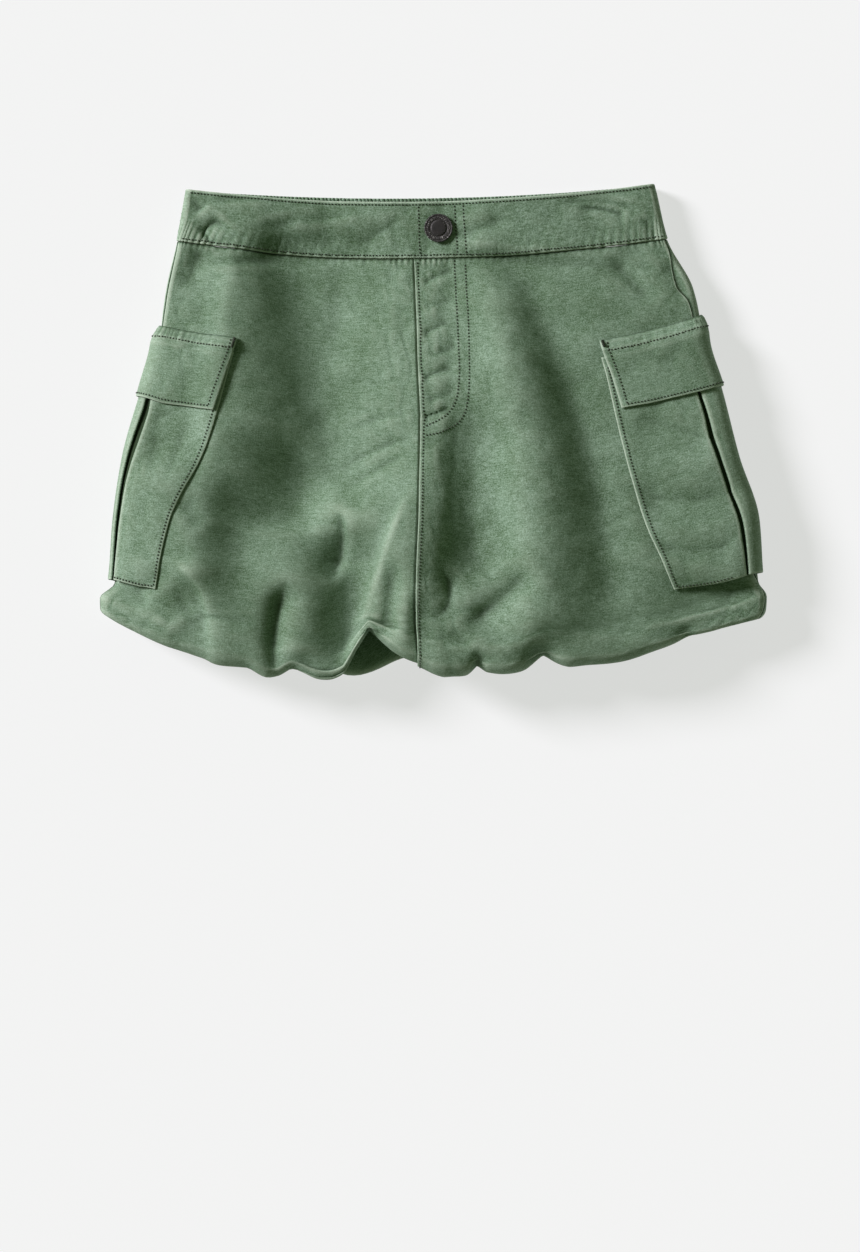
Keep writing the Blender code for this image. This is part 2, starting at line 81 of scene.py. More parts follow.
# %% The rings and the seams
Section = namedtuple(
    "Section",
    "name run left y_left right y_right sag sag_back bow_left bow_right crown side floor lift folds",
)
SECTIONS = [Section(*row) for row in [
    ("waist top", -34, -146.6, 144.4, 131.2, 147.6, 9.6, 6.4, 2, 2, 16.5, 7.2, 1.6, 1.6, 1),
    ("waist seam", 0, -152.2, 113.2, 139.4, 114.4, 11, 8, 2, 2, 17, 8.5, 1.5, 1.6, 1),
    ("high hip", 31, -158.6, 84.9, 155.0, 84.9, 13, 11, 2, 2, 23, 10, 0.6, 3.4, 1),
    ("flap top", 52, -161.2, 65.8, 159.0, 66.8, 15, 13, 2.1, 2.1, 27, 11, 0.6, 4.8, 1),
    ("pocket mouth", 68, -162.3, 51.2, 160.6, 51.8, 16, 14, 2.2, 2.2, 30, 11.5, 0.6, 4.8, 1),
    ("flap edge", 98, -169.2, 24.9, 168.8, 24.9, 19, 17, 2.3, 2.3, 34, 12, 0.6, 4.6, 1),
    ("mid pocket", 145, -180.8, -17.1, 179.4, -17.1, 24, 22, 2.4, 2.4, 39, 12.5, 0.6, 2.7, 1),
    ("low pocket", 187, -186.2, -53.1, 190.8, -53.1, 29, 27, 2.6, 2.5, 42, 12.5, 0.6, 2.5, 1),
    ("pocket foot", 227, -189.5, -91.4, 193.8, -90.4, 30, 28, 2.7, 2.4, 41, 12, 0.6, 2.5, 1),
    ("hem swell", 239, -198.2, -100.0, 198.8, -99.0, 30.5, 24, 2.9, 2.2, 41.3, 12, 0.6, 1.6, 0.85),
    ("hem turn", 250, -198.0, -106.5, 198.2, -107.5, 33.5, 24, 3.2, 2.1, 39.6, 12, 0.9, 1.6, 0.6),
    ("hem edge", 260.5, -193.0, -110.5, 194.0, -112.0, 35.5, 24, 3.4, 2, 30, 12.5, 2.6, 3.0, 0.45),
    ("hem under", 269, -187.5, -109.0, 189.0, -109.5, 32.5, 22.5, 3.2, 2.1, 19.5, 13, 4.4, 4.6, 0.35),
    ("return", 281, -181.0, -101.5, 182.0, -103.0, 27, 19, 2.7, 2.3, 15.8, 13, 4.5, 5.8, 0.15),
    ("return end", 303, -167.0, -86.0, 168.0, -86.5, 19, 12, 2.4, 2.4, 15.6, 13, 4.5, 6.4, 0),
    ("hem band", 317, -162.0, -73.0, 163.0, -73.5, 18, 12, 2.4, 2.4, 15.6, 13, 4.5, 6.4, 0),
]]
HEM_EDGE, RETURN_END, BAND_END = 260.5, 303.0, 317.0

Seam = namedtuple("Seam", "run left_turn centre right")
SEAMS = [Seam(*row) for row in [
    (0, -0.96, -11.0, 137.8),
    (8, -0.955, -10.6, 141.0),
    (28, -0.95, -9.8, 145.4),
    (40, -0.95, -9.3, 152.6),
    (60, -0.96, -8.8, 157.0),
    (100, -0.965, -7.2, 168.2),
    (150, -0.97, -8.3, 179.6),
    (188, -0.97, -9.8, 185.2),
    (218, -0.97, -10.4, 190.0),
    (240, -0.97, -9.6, 197.6),
    (260, -0.97, -8.4, 193.0),
    (303, -0.97, -9.0, 160.0),
]]
print(f"{len(SECTIONS)} rings, from {SECTIONS[0].name} to {SECTIONS[-1].name}")

# %% [markdown]
# ## Reading the tables as smooth curves
#
# Between two rings the skirt has to flow. A straight line between rows would show as a crease, and an
# ordinary spline would swing past the numbers, so a monotone cubic is used: it passes through every row
# and never overshoots. A turn of 0 is the centre front, 1 and -1 are the side folds, and 2 is the centre
# back.

# %% Curves through a table
def through(places, values, at):
    """A smooth curve through a table's values that never overshoots them."""
    places, values = np.asarray(places, float), np.asarray(values, float)
    rise = np.diff(values) / np.diff(places)
    both = rise[:-1] * rise[1:]
    mean = 2 * both / np.where(both > 0, rise[:-1] + rise[1:], 1.0)
    slopes = np.concatenate([[rise[0]], np.where(both > 0, mean, 0.0), [rise[-1]]])
    i = np.clip(np.searchsorted(places, at) - 1, 0, len(places) - 2)
    span = places[i + 1] - places[i]
    u = np.clip((at - places[i]) / span, 0.0, 1.0)
    ease = u * u * (3 - 2 * u)
    lean = u * (1 - u) ** 2 * slopes[i] - u * u * (1 - u) * slopes[i + 1]
    return values[i] * (1 - ease) + values[i + 1] * ease + span * lean


def column(name, run):
    return through([s.run for s in SECTIONS], [getattr(s, name) for s in SECTIONS], run)


def seam(name, run):
    return through([s.run for s in SEAMS], [getattr(s, name) for s in SEAMS], run)


def ramp(low, high, value):
    """0 below low, 1 above high, smooth between."""
    u = np.clip((value - low) / (high - low), 0.0, 1.0)
    return u * u * (3 - 2 * u)


print(f"half way down, the skirt is {column('right', 130) - column('left', 130):.0f} mm wide")

# %% One ring of the tube
EVEN = 0.5  # evens out the length of cloth in each turn of a ring
SHOULDER = 1.3  # how soon the front falls away from its crown
FRONT_ROLL, EDGE_RAISED = 0.45, 0.3  # the side folds are flatter on top than below
LIFT_FROM, LIFT_TO = 0.55, 0.68  # where the back rises onto the pockets
NUDGE = 0.003  # the step in turns by which a slope is measured


def angle_of(turn):
    return math.pi / 2 * (turn - EVEN * np.sin(math.pi * turn) / math.pi)


def turn_at(x, run, on_back=False):
    """The turn at which the ring at this run has this place across the skirt."""
    turns = np.linspace(-1.0, 1.0, 801)
    left, right = column("left", run), column("right", run)
    share = np.clip((2 * x - left - right) / (right - left), -0.9999, 0.9999)
    turn = np.interp(np.arcsin(share), angle_of(turns), turns)
    return np.sign(turn) * 2 - turn if on_back else turn


def rolled(facing, width, height):
    """The share of a side fold's roll that is climbed: a quarter of a circle."""
    v = np.minimum(facing * np.sqrt(width / height), math.sqrt(2))
    return v * np.sqrt(1 - v * v / 4)


def ring(turn, run):
    """Points of the smooth tube: turn goes round it, run goes down the cloth."""
    angle = angle_of(turn)
    across, facing = np.sin(angle), np.cos(angle)
    left, right = column("left", run), column("right", run)
    width = (right - left) / 2
    is_front = facing >= 0
    y_side = column("y_left", run) * (1 - across) / 2 + column("y_right", run) * (1 + across) / 2
    sag = np.where(is_front, column("sag", run), column("sag_back", run))
    bow = np.where(across < 0, column("bow_left", run), column("bow_right", run))
    y = y_side - sag * (1 - np.abs(across) ** bow)
    side, lift, floor = column("side", run), column("lift", run), column("floor", run)
    roll = side - lift
    top_roll, edge = roll * FRONT_ROLL, side + roll * EDGE_RAISED
    climbed = top_roll * rolled(np.abs(facing), width, top_roll)
    z_front = edge + climbed + (column("crown", run) - edge - top_roll) * np.abs(facing) ** SHOULDER
    low_roll = edge - lift
    sunk_middle = (lift - floor) * (1 - ramp(LIFT_FROM, LIFT_TO, np.abs(across)))
    z_back = edge - low_roll * rolled(np.abs(facing), width, low_roll) - sunk_middle
    return np.stack([(left + right) / 2 + across * width, y, np.where(is_front, z_front, z_back)], -1)


def normals(surface, turn, run):
    """Unit normals of surface(turn, run), pointing out of the tube."""
    across = surface(turn + NUDGE, run) - surface(turn - NUDGE, run)
    down = surface(turn, run + 0.5) - surface(turn, run - 0.5)
    n = np.cross(down, across)
    return n / np.linalg.norm(n, axis=-1, keepdims=True)


def turns_in(length, turn, run):
    """The turn that a length of cloth takes up at this place on a ring."""
    return length * 2 * NUDGE / np.linalg.norm(ring(turn + NUDGE, run) - ring(turn - NUDGE, run), axis=-1)


crown = ring(np.array(0.0), np.array(187.0))
print(f"the crown of the front stands {crown[2]:.0f} mm high")

# %% [markdown]
# ## Folds and creases
#
# Cloth that is drawn in at the hem folds into soft troughs, with ridges between them. They could come
# from a cloth simulation, but the folds of this skirt lie where its hem is gathered and where it was
# pressed, so they are listed one by one. Each row is one fold, drawn in plan through three points. A
# `depth` below 0 is a trough and one above 0 a ridge. It has a width to each side, and the shares of its
# line over which it fades in and out. `edge` is 2 for a soft fold, whose sides are bell shaped, and near
# 1 for a crisp one, which has a sharp bottom.

# %% The folds of the front
Fold = namedtuple(
    "Fold", "name x0 y0 x1 y1 x2 y2 depth wide_left wide_right fade_in fade_out edge"
)
FRONT_FOLDS = [Fold(*row) for row in [
    ("hip ridge", -113, 118, -120, 64, -130, -36, 6.5, 13, 34, 0.2, 0.2, 2),
    ("left valley", -80, 124, -66, 20, -60, -62, -19, 27, 36, 0.12, 0.22, 1.5),
    ("second crease", -60, 112, -57, 80, -65, 34, -4, 7, 11, 0.3, 0.5, 1.6),
    ("left wall", -92, 6, -82, -34, -108, -62, -8, 30, 16, 0.4, 0.3, 1.8),
    ("valley foot", -58, -36, -96, -57, -148, -63, -9, 19, 24, 0.3, 0.35, 1.7),
    ("left line", -154, -73, -132, -103, -130, -156, 3.5, 5, 13, 0.2, 0.2, 2),
    ("narrow left valley", -84, -86, -94, -116, -93, -158, -8, 6, 9, 0.3, 0.1, 1.3),
    ("left hem tuck", -83, -129, -77, -142, -76, -160, -5, 10, 8, 0.45, 0.15, 1.5),
    ("lower left valley", -62, -48, -48, -96, -61, -170, -17, 20, 20, 0.25, 0.12, 1.7),
    ("leaf crease", -57, -44, -54, -66, -62, -94, -6, 13, 3, 0.25, 0.35, 1.2),
    ("seam ridge", -8, -4, -9, -46, -10, -92, 3.2, 24, 14, 0.3, 0.3, 2),
    ("left pocket ridge", -142, -10, -142, -50, -152, -104, 7, 36, 22, 0.3, 0.25, 2),
    ("left hem ridge", -172, -92, -160, -112, -146, -126, 3, 8, 22, 0.3, 0.3, 2),
    ("lower left ridge", -5, -26, -28, -76, -49, -150, 7, 5, 30, 0.45, 0.2, 2.1),
    ("narrow valley", -22, -72, -25, -100, -28, -130, -5, 6, 6, 0.4, 0.3, 1.9),
    ("seam pull", -8, -92, -8, -124, -7, -165, -4, 7, 13, 0.33, 0.15, 1.7),
    ("tuck beside the seam", -44, -112, -38, -124, -32, -150, -8, 9, 12, 0.42, 0.15, 1.5),
    ("valley beside the seam", 23, 22, 27, -36, 23, -105, -7, 15, 25, 0.25, 0.25, 1.9),
    ("hook", 6, -80, 9, -104, -6, -114, -2.0, 4, 7, 0.3, 0.4, 1.4),
    ("right ridge", 30, 111, 54, 0, 60, -150, 8.5, 18, 25, 0.15, 0.18, 1.9),
    ("right valley", 34, 114, 88, 2, 109, -137, -6, 15, 18, 0.15, 0.33, 1.7),
    ("low crease", 60, -78, 44, -98, 16, -120, -5.5, 7, 12, 0.3, 0.3, 1.5),
    ("low crease foot", 16, -112, 16, -124, 23, -148, -1.5, 8, 8, 0.35, 0.25, 1.6),
    ("middle hem tuck", 28, -128, 28, -138, 26, -160, -8, 5, 9, 0.4, 0.15, 1.4),
    ("right tuck", 54, -125, 63, -135, 68, -162, -15, 9, 8, 0.42, 0.15, 1.4),
    ("corner tuck", 146, -112, 151, -120, 155, -150, -5, 9, 7, 0.4, 0.1, 1.5),
    ("right diagonal", 106, 108, 116, 92, 134, 74, -2.6, 6, 10, 0.3, 0.3, 1.5),
    ("right side crease", 140, 104, 146, 90, 154, 78, -2.6, 6, 6, 0.3, 0.3, 1.5),
    ("hem press line", -142, -109, -118, -112, -96, -112, -0.4, 3, 2.5, 0.3, 0.3, 1.4),
    ("corner crackle", -178, -98, -164, -108, -150, -116, -0.7, 4, 3, 0.3, 0.3, 1.4),
    ("second crackle", -150, -92, -146, -108, -138, -122, -0.8, 4, 3, 0.3, 0.3, 1.4),
    ("side pull", -150, -41, -143, -50, -136, -62, -1.6, 5, 7, 0.35, 0.38, 1.7),
    ("right hip", 118, 66, 130, 4, 146, -92, -4, 27, 30, 0.2, 0.35, 2),
    ("fly crease 1", 14, 96, 5, 93, -7, 87, -1.0, 2.8, 2.2, 0.25, 0.2, 1.5),
    ("fly crease 2", 15, 80, 6, 76, -6, 73, -0.6, 3.4, 2.6, 0.3, 0.2, 1.6),
    ("fly crease 3", 12, 64, 4, 62, -7, 55, -1.2, 3.2, 2.4, 0.3, 0.2, 1.4),
    ("fly crease 4", 16, 52, 8, 47, -5, 44, -0.8, 3.4, 2.4, 0.25, 0.25, 1.5),
    ("fly crease 5", 14, 36, 5, 35, -7, 29, -1.1, 3.2, 2.4, 0.3, 0.2, 1.4),
    ("fly crease 6", 15, 25, 6, 20, -6, 18, -0.7, 3.2, 2.4, 0.3, 0.25, 1.6),
    ("fly crease 7", 12, 13, 4, 11, -7, 6, -1.3, 2.8, 2.2, 0.25, 0.2, 1.3),
    ("high fan crease", -12, 10, -32, 8, -56, 0, -0.9, 3.5, 2.6, 0.3, 0.4, 1.4),
    ("fan crease", -10, -4, -32, -10, -60, -24, -1.2, 3.5, 2.6, 0.3, 0.4, 1.4),
    ("low fan crease", -10, -12, -32, -22, -58, -38, -1.0, 3.5, 2.6, 0.3, 0.4, 1.4),
    ("right pocket high crease", 116, 8, 142, 2, 172, -10, -1.8, 14, 6, 0.3, 0.3, 1.6),
    ("right pocket crease", 118, -36, 152, -42, 188, -33, -2.8, 18, 7, 0.25, 0.15, 1.6),
    ("right pocket low crease", 126, -62, 150, -72, 184, -66, -2.2, 12, 6, 0.3, 0.2, 1.6),
    ("left pocket streak", -162, 22, -165, -4, -168, -38, -3, 8, 12, 0.25, 0.4, 1.7),
    ("left pocket crease", -144, 12, -150, -10, -160, -38, -0.8, 4, 4, 0.3, 0.3, 1.6),
    ("band dent", -92, 130, -88, 116, -85, 102, -3.0, 15, 9, 0.3, 0.3, 1.8),
    ("band hollow", -66, 146, -64, 122, -64, 98, -4, 44, 15, 0.15, 0.15, 1.5),
    ("left band swell", -108, 142, -106, 122, -104, 100, 2.4, 22, 12, 0.2, 0.2, 2),
    ("right band swell", 34, 150, 33, 128, 30, 102, 3.2, 14, 78, 0.15, 0.2, 2),
    ("right hem hollow", 172, -82, 173, -108, 166, -134, -4.5, 44, 24, 0.3, 0.2, 2),
    ("left band crease", -137, 112, -135, 121, -124, 127, -3.2, 5, 3, 0.25, 0.3, 1.3),
    ("left end crease", -147, 143, -144, 137, -136, 130, -2.2, 5, 4, 0.2, 0.3, 1.5),
    ("left hip crease", -139, 112, -143, 98, -152, 82, -3, 6, 7, 0.25, 0.35, 1.5),
    ("upper band crease", -84, 124, -66, 126, -46, 132, -1.1, 5, 4, 0.3, 0.3, 1.6),
    ("band crease", -48, 107, -34, 117, -18, 127, -1.2, 5, 4, 0.3, 0.3, 1.6),
    ("button crease", 12, 116, 26, 120, 46, 128, -1.3, 6, 4, 0.25, 0.3, 1.6),
    ("right band crease", 84, 133, 102, 132, 116, 128, -1.9, 4, 1.8, 0.3, 0.15, 1.2),
    ("high band crease", 70, 134, 96, 137, 126, 131, -1.2, 4, 3, 0.3, 0.3, 1.5),
    ("right end crease", 124, 128, 130, 120, 132, 112, -1.4, 4, 4, 0.3, 0.2, 1.5),
]]
BACK_FOLDS = [Fold(*row) for row in [
    ("back left valley", -70, 80, -58, 0, -66, -120, -2.4, 24, 20, 0.3, 0.3, 2),
    ("back right valley", 74, 80, 62, 0, 70, -120, -2.0, 22, 24, 0.3, 0.3, 2),
]]
FOLD_STEPS, FOLD_BOTTOM = 20, 0.05  # pieces of a fold's line, and how round its bottom is
print(f"{len(FRONT_FOLDS)} folds in the front, {len(BACK_FOLDS)} in the back")


# %% How far a fold moves the cloth
def fold_line(fold):
    """Points along a fold, on a curve through its three places."""
    start, end = np.array([fold.x0, fold.y0]), np.array([fold.x2, fold.y2])
    bend = 2 * np.array([fold.x1, fold.y1]) - (start + end) / 2
    u = np.linspace(0.0, 1.0, FOLD_STEPS + 1)[:, None]
    return (1 - u) ** 2 * start + 2 * u * (1 - u) * bend + u**2 * end


def off_line(line, x, y):
    """For each point of the plan: its distance from a line, its side of it and its share along it."""
    shape = np.shape(x)
    points = np.stack([np.ravel(x), np.ravel(y)], -1)
    best = np.full(len(points), np.inf)
    right = np.zeros(len(points), bool)
    chord = line[-1] - line[0]
    share = np.clip((points - line[0]) @ chord / (chord @ chord), 0.0, 1.0)
    for a, b in zip(line[:-1], line[1:]):
        step, off = b - a, points - a
        u = np.clip(off @ step / (step @ step), 0.0, 1.0)
        gap = off - u[:, None] * step
        far = np.hypot(gap[:, 0], gap[:, 1])
        near = far < best
        best = np.where(near, far, best)
        right = np.where(near, step[0] * gap[:, 1] - step[1] * gap[:, 0] > 0, right)
    return best.reshape(shape), right.reshape(shape), share.reshape(shape)


def within(zone, value):
    """1 inside a zone. Its four numbers say where the value starts to rise, is full, falls and is 0."""
    return ramp(zone[0], zone[1], value) * (1 - ramp(zone[2], zone[3], value))


def fold_height(folds, x, y):
    total = np.zeros(np.shape(x))
    for fold in folds:
        far, is_right, along = off_line(fold_line(fold), x, y)
        wide = np.where(is_right, fold.wide_right, fold.wide_left)
        body = within((0.0, fold.fade_in, 1 - fold.fade_out, 1.0), along)
        soft = np.sqrt((far / wide) ** 2 + FOLD_BOTTOM**2) - FOLD_BOTTOM
        total += fold.depth * body * np.exp(-(soft**fold.edge))
    return total


print(f"the folds move the middle of the left valley by {fold_height(FRONT_FOLDS, -66.0, 20.0):.0f} mm")

# %% [markdown]
# ## Rumples
#
# Between its folds, washed twill is never quite flat. A smooth lattice noise gives it small rumples. The
# same noise serves for puckers along a seam. It comes from a hash of whole numbers, so it is the same on
# every run.

# %% Smooth noise
def lattice(i, j, seed):
    n = (i * 374761393 + j * 668265263 + seed * 974634777) & 0x7FFFFFFF
    n = ((n ^ (n >> 13)) * 1274126177) & 0x7FFFFFFF
    return ((n ^ (n >> 16)) & 0xFFFF) / 32767.5 - 1.0


def rumple(x, y, seed=0):
    """Noise from about -1 to 1 with features one unit wide."""
    x, y = np.broadcast_arrays(np.asarray(x, float), np.asarray(y, float))
    i, j = np.floor(x).astype(np.int64), np.floor(y).astype(np.int64)
    u, v = x - i, y - j
    u, v = u * u * u * (u * (6 * u - 15) + 10), v * v * v * (v * (6 * v - 15) + 10)
    near = lattice(i, j, seed) * (1 - u) + lattice(i + 1, j, seed) * u
    far = lattice(i, j + 1, seed) * (1 - u) + lattice(i + 1, j + 1, seed) * u
    return near * (1 - v) + far * v


print("noise at four places:", rumple(np.arange(4) + 0.5, 0.5).round(2))

# %% [markdown]
# ## The folded tube
#
# `shell` is the middle of the twill, with folds and rumples. Each panel is cut from it, and what is sewn
# on top, the pockets and their flaps, lies on it and is moved out. The folds die away towards the side
# folds. Sewing shrinks its seam a little, so the cloth puckers along the waist seam and over the fly.

# %% The cloth's own surface
SIDE_CALM = 0.5  # folds are full where the cloth faces this much up or down
HALF_ROUND = 185.0  # millimetres of cloth in one turn
RUMPLES = [(24.0, 0.45), (11.0, 0.30), (4.6, 0.10)]  # size and height
# Each kind of pucker has its height, its pitch and the zone in which it is found.
WAIST_PUCKER, WAIST_PITCH, WAIST_ZONE = 0.55, 5.2, (-17.0, -3.0, -1.5, 6.0)
FLY_PUCKER, FLY_PITCH, FLY_ZONE = 0.4, 6.5, (2.0, 12.0, 110.0, 125.0)
FLY_MIDDLE, FLY_WIDE = 7.0, 9.0
CRINKLE, CRINKLE_PITCH = 0.55, 8.0
CORNER_TURNS, CORNER_RUNS = (0.45, 0.75, 1.0, 1.3), (205.0, 238.0, 262.0, 275.0)
CRACKLE, CRACKLE_PITCH = 0.26, 15.0
APART = 3.6  # millimetres that stay between the middles of front and back


def puckered(along, pitch, seed):
    """Puckers along a seam, uneven in pitch and height."""
    sway = 2.2 * rumple(along / (pitch * 2.1), 0.5, seed)
    return np.sin(math.tau * along / pitch + sway) * (0.6 + 0.5 * rumple(along / (pitch * 1.6), 3.5, seed))


def rumples(turn, run):
    """The height of small rumples and puckers over the cloth."""
    u, v = turn * HALF_ROUND, run
    total = sum(height * rumple(u / size, v / size, k) for k, (size, height) in enumerate(RUMPLES))
    total = total + WAIST_PUCKER * within(WAIST_ZONE, run) * puckered(u + v / 3, WAIST_PITCH, 3)
    on_fly = np.exp(-(((u - FLY_MIDDLE) / FLY_WIDE) ** 2)) * within(FLY_ZONE, run)
    total = total + FLY_PUCKER * on_fly * rumple(u / 14, v / FLY_PITCH + u / 20, 4)
    by_corner = within(CORNER_TURNS, np.abs(turn)) * within(CORNER_RUNS, run)
    crisp = (1 - np.abs(rumple((u + v * 0.4) / CRINKLE_PITCH, v / CRINKLE_PITCH, 8))) ** 3
    patchy = ramp(-0.3, 0.5, rumple(u / 42, v / 42, 13))
    lines = (1 - np.abs(rumple((u - v * 0.3) / CRACKLE_PITCH, (v + u * 0.2) / CRACKLE_PITCH, 14))) ** 4
    return total - CRINKLE * by_corner * (crisp - 0.3) - CRACKLE * patchy * (lines - 0.2)


Gather = namedtuple("Gather", "x lift wide_left wide_right")
FRONT_GATHERS = [
    Gather(-38, 23, 15, 44), Gather(-95, -7, 16, 14), Gather(-86, 2, 8, 16), Gather(-62, -8, 30, 18),
    Gather(67, 4, 12, 14), Gather(26, 3, 6, 6), Gather(112, -2, 24, 24),
]
BACK_GATHERS = [Gather(-80, -9, 26, 26), Gather(-48, -11, 28, 34)]
GATHER_ZONE = (HEM_EDGE - 58.0, HEM_EDGE, HEM_EDGE + 6, RETURN_END - 8)


def drawn_up(gathers, x, run):
    """How far the hem is drawn up by its gathers, which are pointed, or hangs down between them."""
    total = np.zeros(np.shape(x))
    for g in gathers:
        far = np.abs(x - g.x) / np.where(x > g.x, g.wide_right, g.wide_left)
        pointed = np.clip(1.03 - np.sqrt(far**2 + 0.001), 0.0, 1.0) ** 1.2
        total += g.lift * (pointed if g.lift > 0 else np.clip(1 - far**2, 0.0, 1.0) ** 2)
    return total * within(GATHER_ZONE, run)


def sunk(depth, turn, run):
    """A fold's depth, eased so that the front never meets the back under it."""
    opposite = np.where(turn < 0, -2.0, 2.0) - turn
    room = np.maximum(ring(turn, run)[..., 2] - ring(opposite, run)[..., 2] - APART, 0.5)
    return np.where(depth < 0, -room * np.tanh(-depth / room), depth)


def shell(turn, run, fine=1.0):
    """Points in the middle of the twill, with its folds and, where fine is 1, its rumples."""
    turn, run = np.broadcast_arrays(np.asarray(turn, float), np.asarray(run, float))
    base = ring(turn, run)
    x = base[..., 0]
    facing = np.cos(angle_of(turn))
    up = np.where(facing >= 0, drawn_up(FRONT_GATHERS, x, run), drawn_up(BACK_GATHERS, x, run))
    base = base + np.stack([0 * up, up * ramp(0.0, 0.3, np.abs(facing)), 0 * up], -1)
    past_hem = np.maximum(run - HEM_EDGE, 0.0)
    plan_y = np.where(past_hem > 0, ring(turn, np.minimum(run, HEM_EDGE))[..., 1] - past_hem, base[..., 1])
    share = column("folds", run) * ramp(0.0, SIDE_CALM, np.abs(facing))
    front = fold_height(FRONT_FOLDS, x, plan_y)
    back = fold_height(BACK_FOLDS, x, plan_y) * (past_hem == 0)
    moved = share * (np.where(facing >= 0, sunk(front, turn, run), back) + fine * rumples(turn, run))
    return base + moved[..., None] * normals(ring, turn, run)


def calm_shell(turn, run):
    return shell(turn, run, fine=0.0)


def out_from_shell(turn, run, offset):
    return shell(turn, run) + np.asarray(offset, float)[..., None] * normals(calm_shell, turn, run)


print(f"with its folds and rumples the crown stands {shell(0.0, 187.0)[2]:.0f} mm high")

# %% [markdown]
# ## Turning a surface into cloth
#
# Blender's Solidify would thicken a sheet with square edges. A folded or pressed edge is round, and its
# roundness is what catches the light, so the wall is made here: two copies of the grid, one moved out
# and one moved in, joined at the rim, and thinner close to it.
#
# Each vertex also remembers two things for its material: where it was on the flat cloth, so that the
# weave follows the cloth and not the room, and a value for wear and painted shade. Edges and the crests
# of creases rub against other clothes in the wash, and there the dye goes pale. In hollows, along some
# seams and inside the pleats the value goes below 0, and there the colour is a painted shade.

# %% Making a sheet with a wall
EDGE_STEPS = (0.0, 0.25, 0.7, 1.5)  # millimetres from a rim, where extra rows round it
EDGE_WALL = (0.35, 0.82, 1.0, 1.0)  # share of the wall's thickness there
BEND_WEAR_AND_SHADE = 2.2  # wear on a crest, and painted shade in a hollow, for each 1/mm of bend
RIM_WEAR_AND_SHADE = 0.85  # millimetres from a rim that its wear reaches, and its painted shade where the rim is below 0


def rows_across(length, spacing):
    """Shares from 0 to 1 over a length, closer together at both ends."""
    edge = [e / length for e in EDGE_STEPS]
    count = max(2, round((length - 2 * EDGE_STEPS[-1]) / spacing))
    inner = np.linspace(edge[-1], 1 - edge[-1], count + 1)[1:-1]
    return np.concatenate([edge, inner, [1 - e for e in reversed(edge)]])


def unit(vectors):
    return vectors / np.maximum(np.linalg.norm(vectors, axis=-1, keepdims=True), 1e-9)


def grid_normals(points):
    """Unit normals of a grid whose rows run down the cloth and whose columns run across it."""
    return unit(np.cross(np.gradient(points, axis=0), np.gradient(points, axis=1)))


def rim_share(rows, columns):
    """The share of the wall's thickness at each point of the grid."""
    share = np.ones((rows, columns))
    for i, wall in enumerate(EDGE_WALL):
        for line in (share[i], share[-1 - i], share[:, i], share[:, -1 - i]):
            np.minimum(line, wall, out=line)
    return share


def arc(points, axis):
    """Length along the grid from its first row or column."""
    step = np.linalg.norm(np.diff(points, axis=axis), axis=-1)
    zero = np.zeros_like(np.take(step, [0], axis))
    return np.cumsum(np.concatenate([zero, step], axis), axis)


def smooth(field, times):
    """The field with each value evened out among its neighbours, a number of times."""
    for _ in range(times):
        padded = np.pad(field, 1, mode="edge")
        field = (padded[1:-1, 1:-1] * 2 + padded[:-2, 1:-1] + padded[2:, 1:-1]
                 + padded[1:-1, :-2] + padded[1:-1, 2:]) / 6
    return field


def wear_and_shade_of(points, out, rims, lap, crisp):
    """How worn each point is, with painted shade below 0: 1 at a rim or on a sharp crest, 0 on flat
    cloth, below 0 in a hollow, where the colour gets a painted shade.

    rims says how worn the first row, the last row, the first and the last column are. A rim below 0
    gets a painted shade line. The last column's mark lies as far in as the next piece laps over it."""
    bend = np.zeros(points.shape[:2])
    for axis in (0, 1):
        step = np.linalg.norm(np.gradient(points, axis=axis), axis=-1)
        second = np.gradient(np.gradient(points, axis=axis), axis=axis)
        bend -= (second * out).sum(-1) / np.maximum(step, 0.2) ** 2
    bend[:2], bend[-2:], bend[:, :2], bend[:, -2:] = 0, 0, 0, 0
    worn = np.clip(smooth(bend, 2) * BEND_WEAR_AND_SHADE, -0.5 - crisp, 0.6 + crisp)
    u, v = arc(points, 1), arc(points, 0)
    for rim, far in zip(rims, (v, v[-1:] - v, u, u[:, -1:] - u - lap)):
        worn = worn + rim * np.exp(-((far / RIM_WEAR_AND_SHADE) ** 4))
    return np.clip(worn, -1.0, 1.0)


print(f"a rim is rounded over {EDGE_STEPS[2]} mm")


# %% The mesh of a sheet
def add(name, data):
    obj = bpy.data.objects.new(name, data)
    bpy.context.scene.collection.objects.link(obj)
    return obj


def make_mesh(name, points, faces, material, **attributes):
    """A smooth-shaded object from points in millimetres and groups of faces, with named values."""
    mesh = bpy.data.meshes.new(name)
    mesh.vertices.add(len(points))
    mesh.vertices.foreach_set("co", (np.asarray(points) * MM).ravel())
    corners = np.concatenate([group.ravel() for group in faces])
    sizes = np.concatenate([np.full(len(group), group.shape[1]) for group in faces])
    mesh.loops.add(len(corners))
    mesh.loops.foreach_set("vertex_index", corners)
    mesh.polygons.add(len(sizes))
    mesh.polygons.foreach_set("loop_start", np.cumsum(sizes) - sizes)
    mesh.polygons.foreach_set("loop_total", sizes)
    mesh.update(calc_edges=True)
    mesh.validate()
    mesh.shade_smooth()
    for key, values in attributes.items():
        values = np.asarray(values, float)
        kind, field = ("FLOAT", "value") if values.ndim == 1 else ("FLOAT_VECTOR", "vector")
        mesh.attributes.new(key, kind, "POINT").data.foreach_set(field, values.ravel())
    mesh.materials.append(material)
    return add(name, mesh)


FLOOR_GAP = 0.05  # millimetres that stay between the cloth and the floor


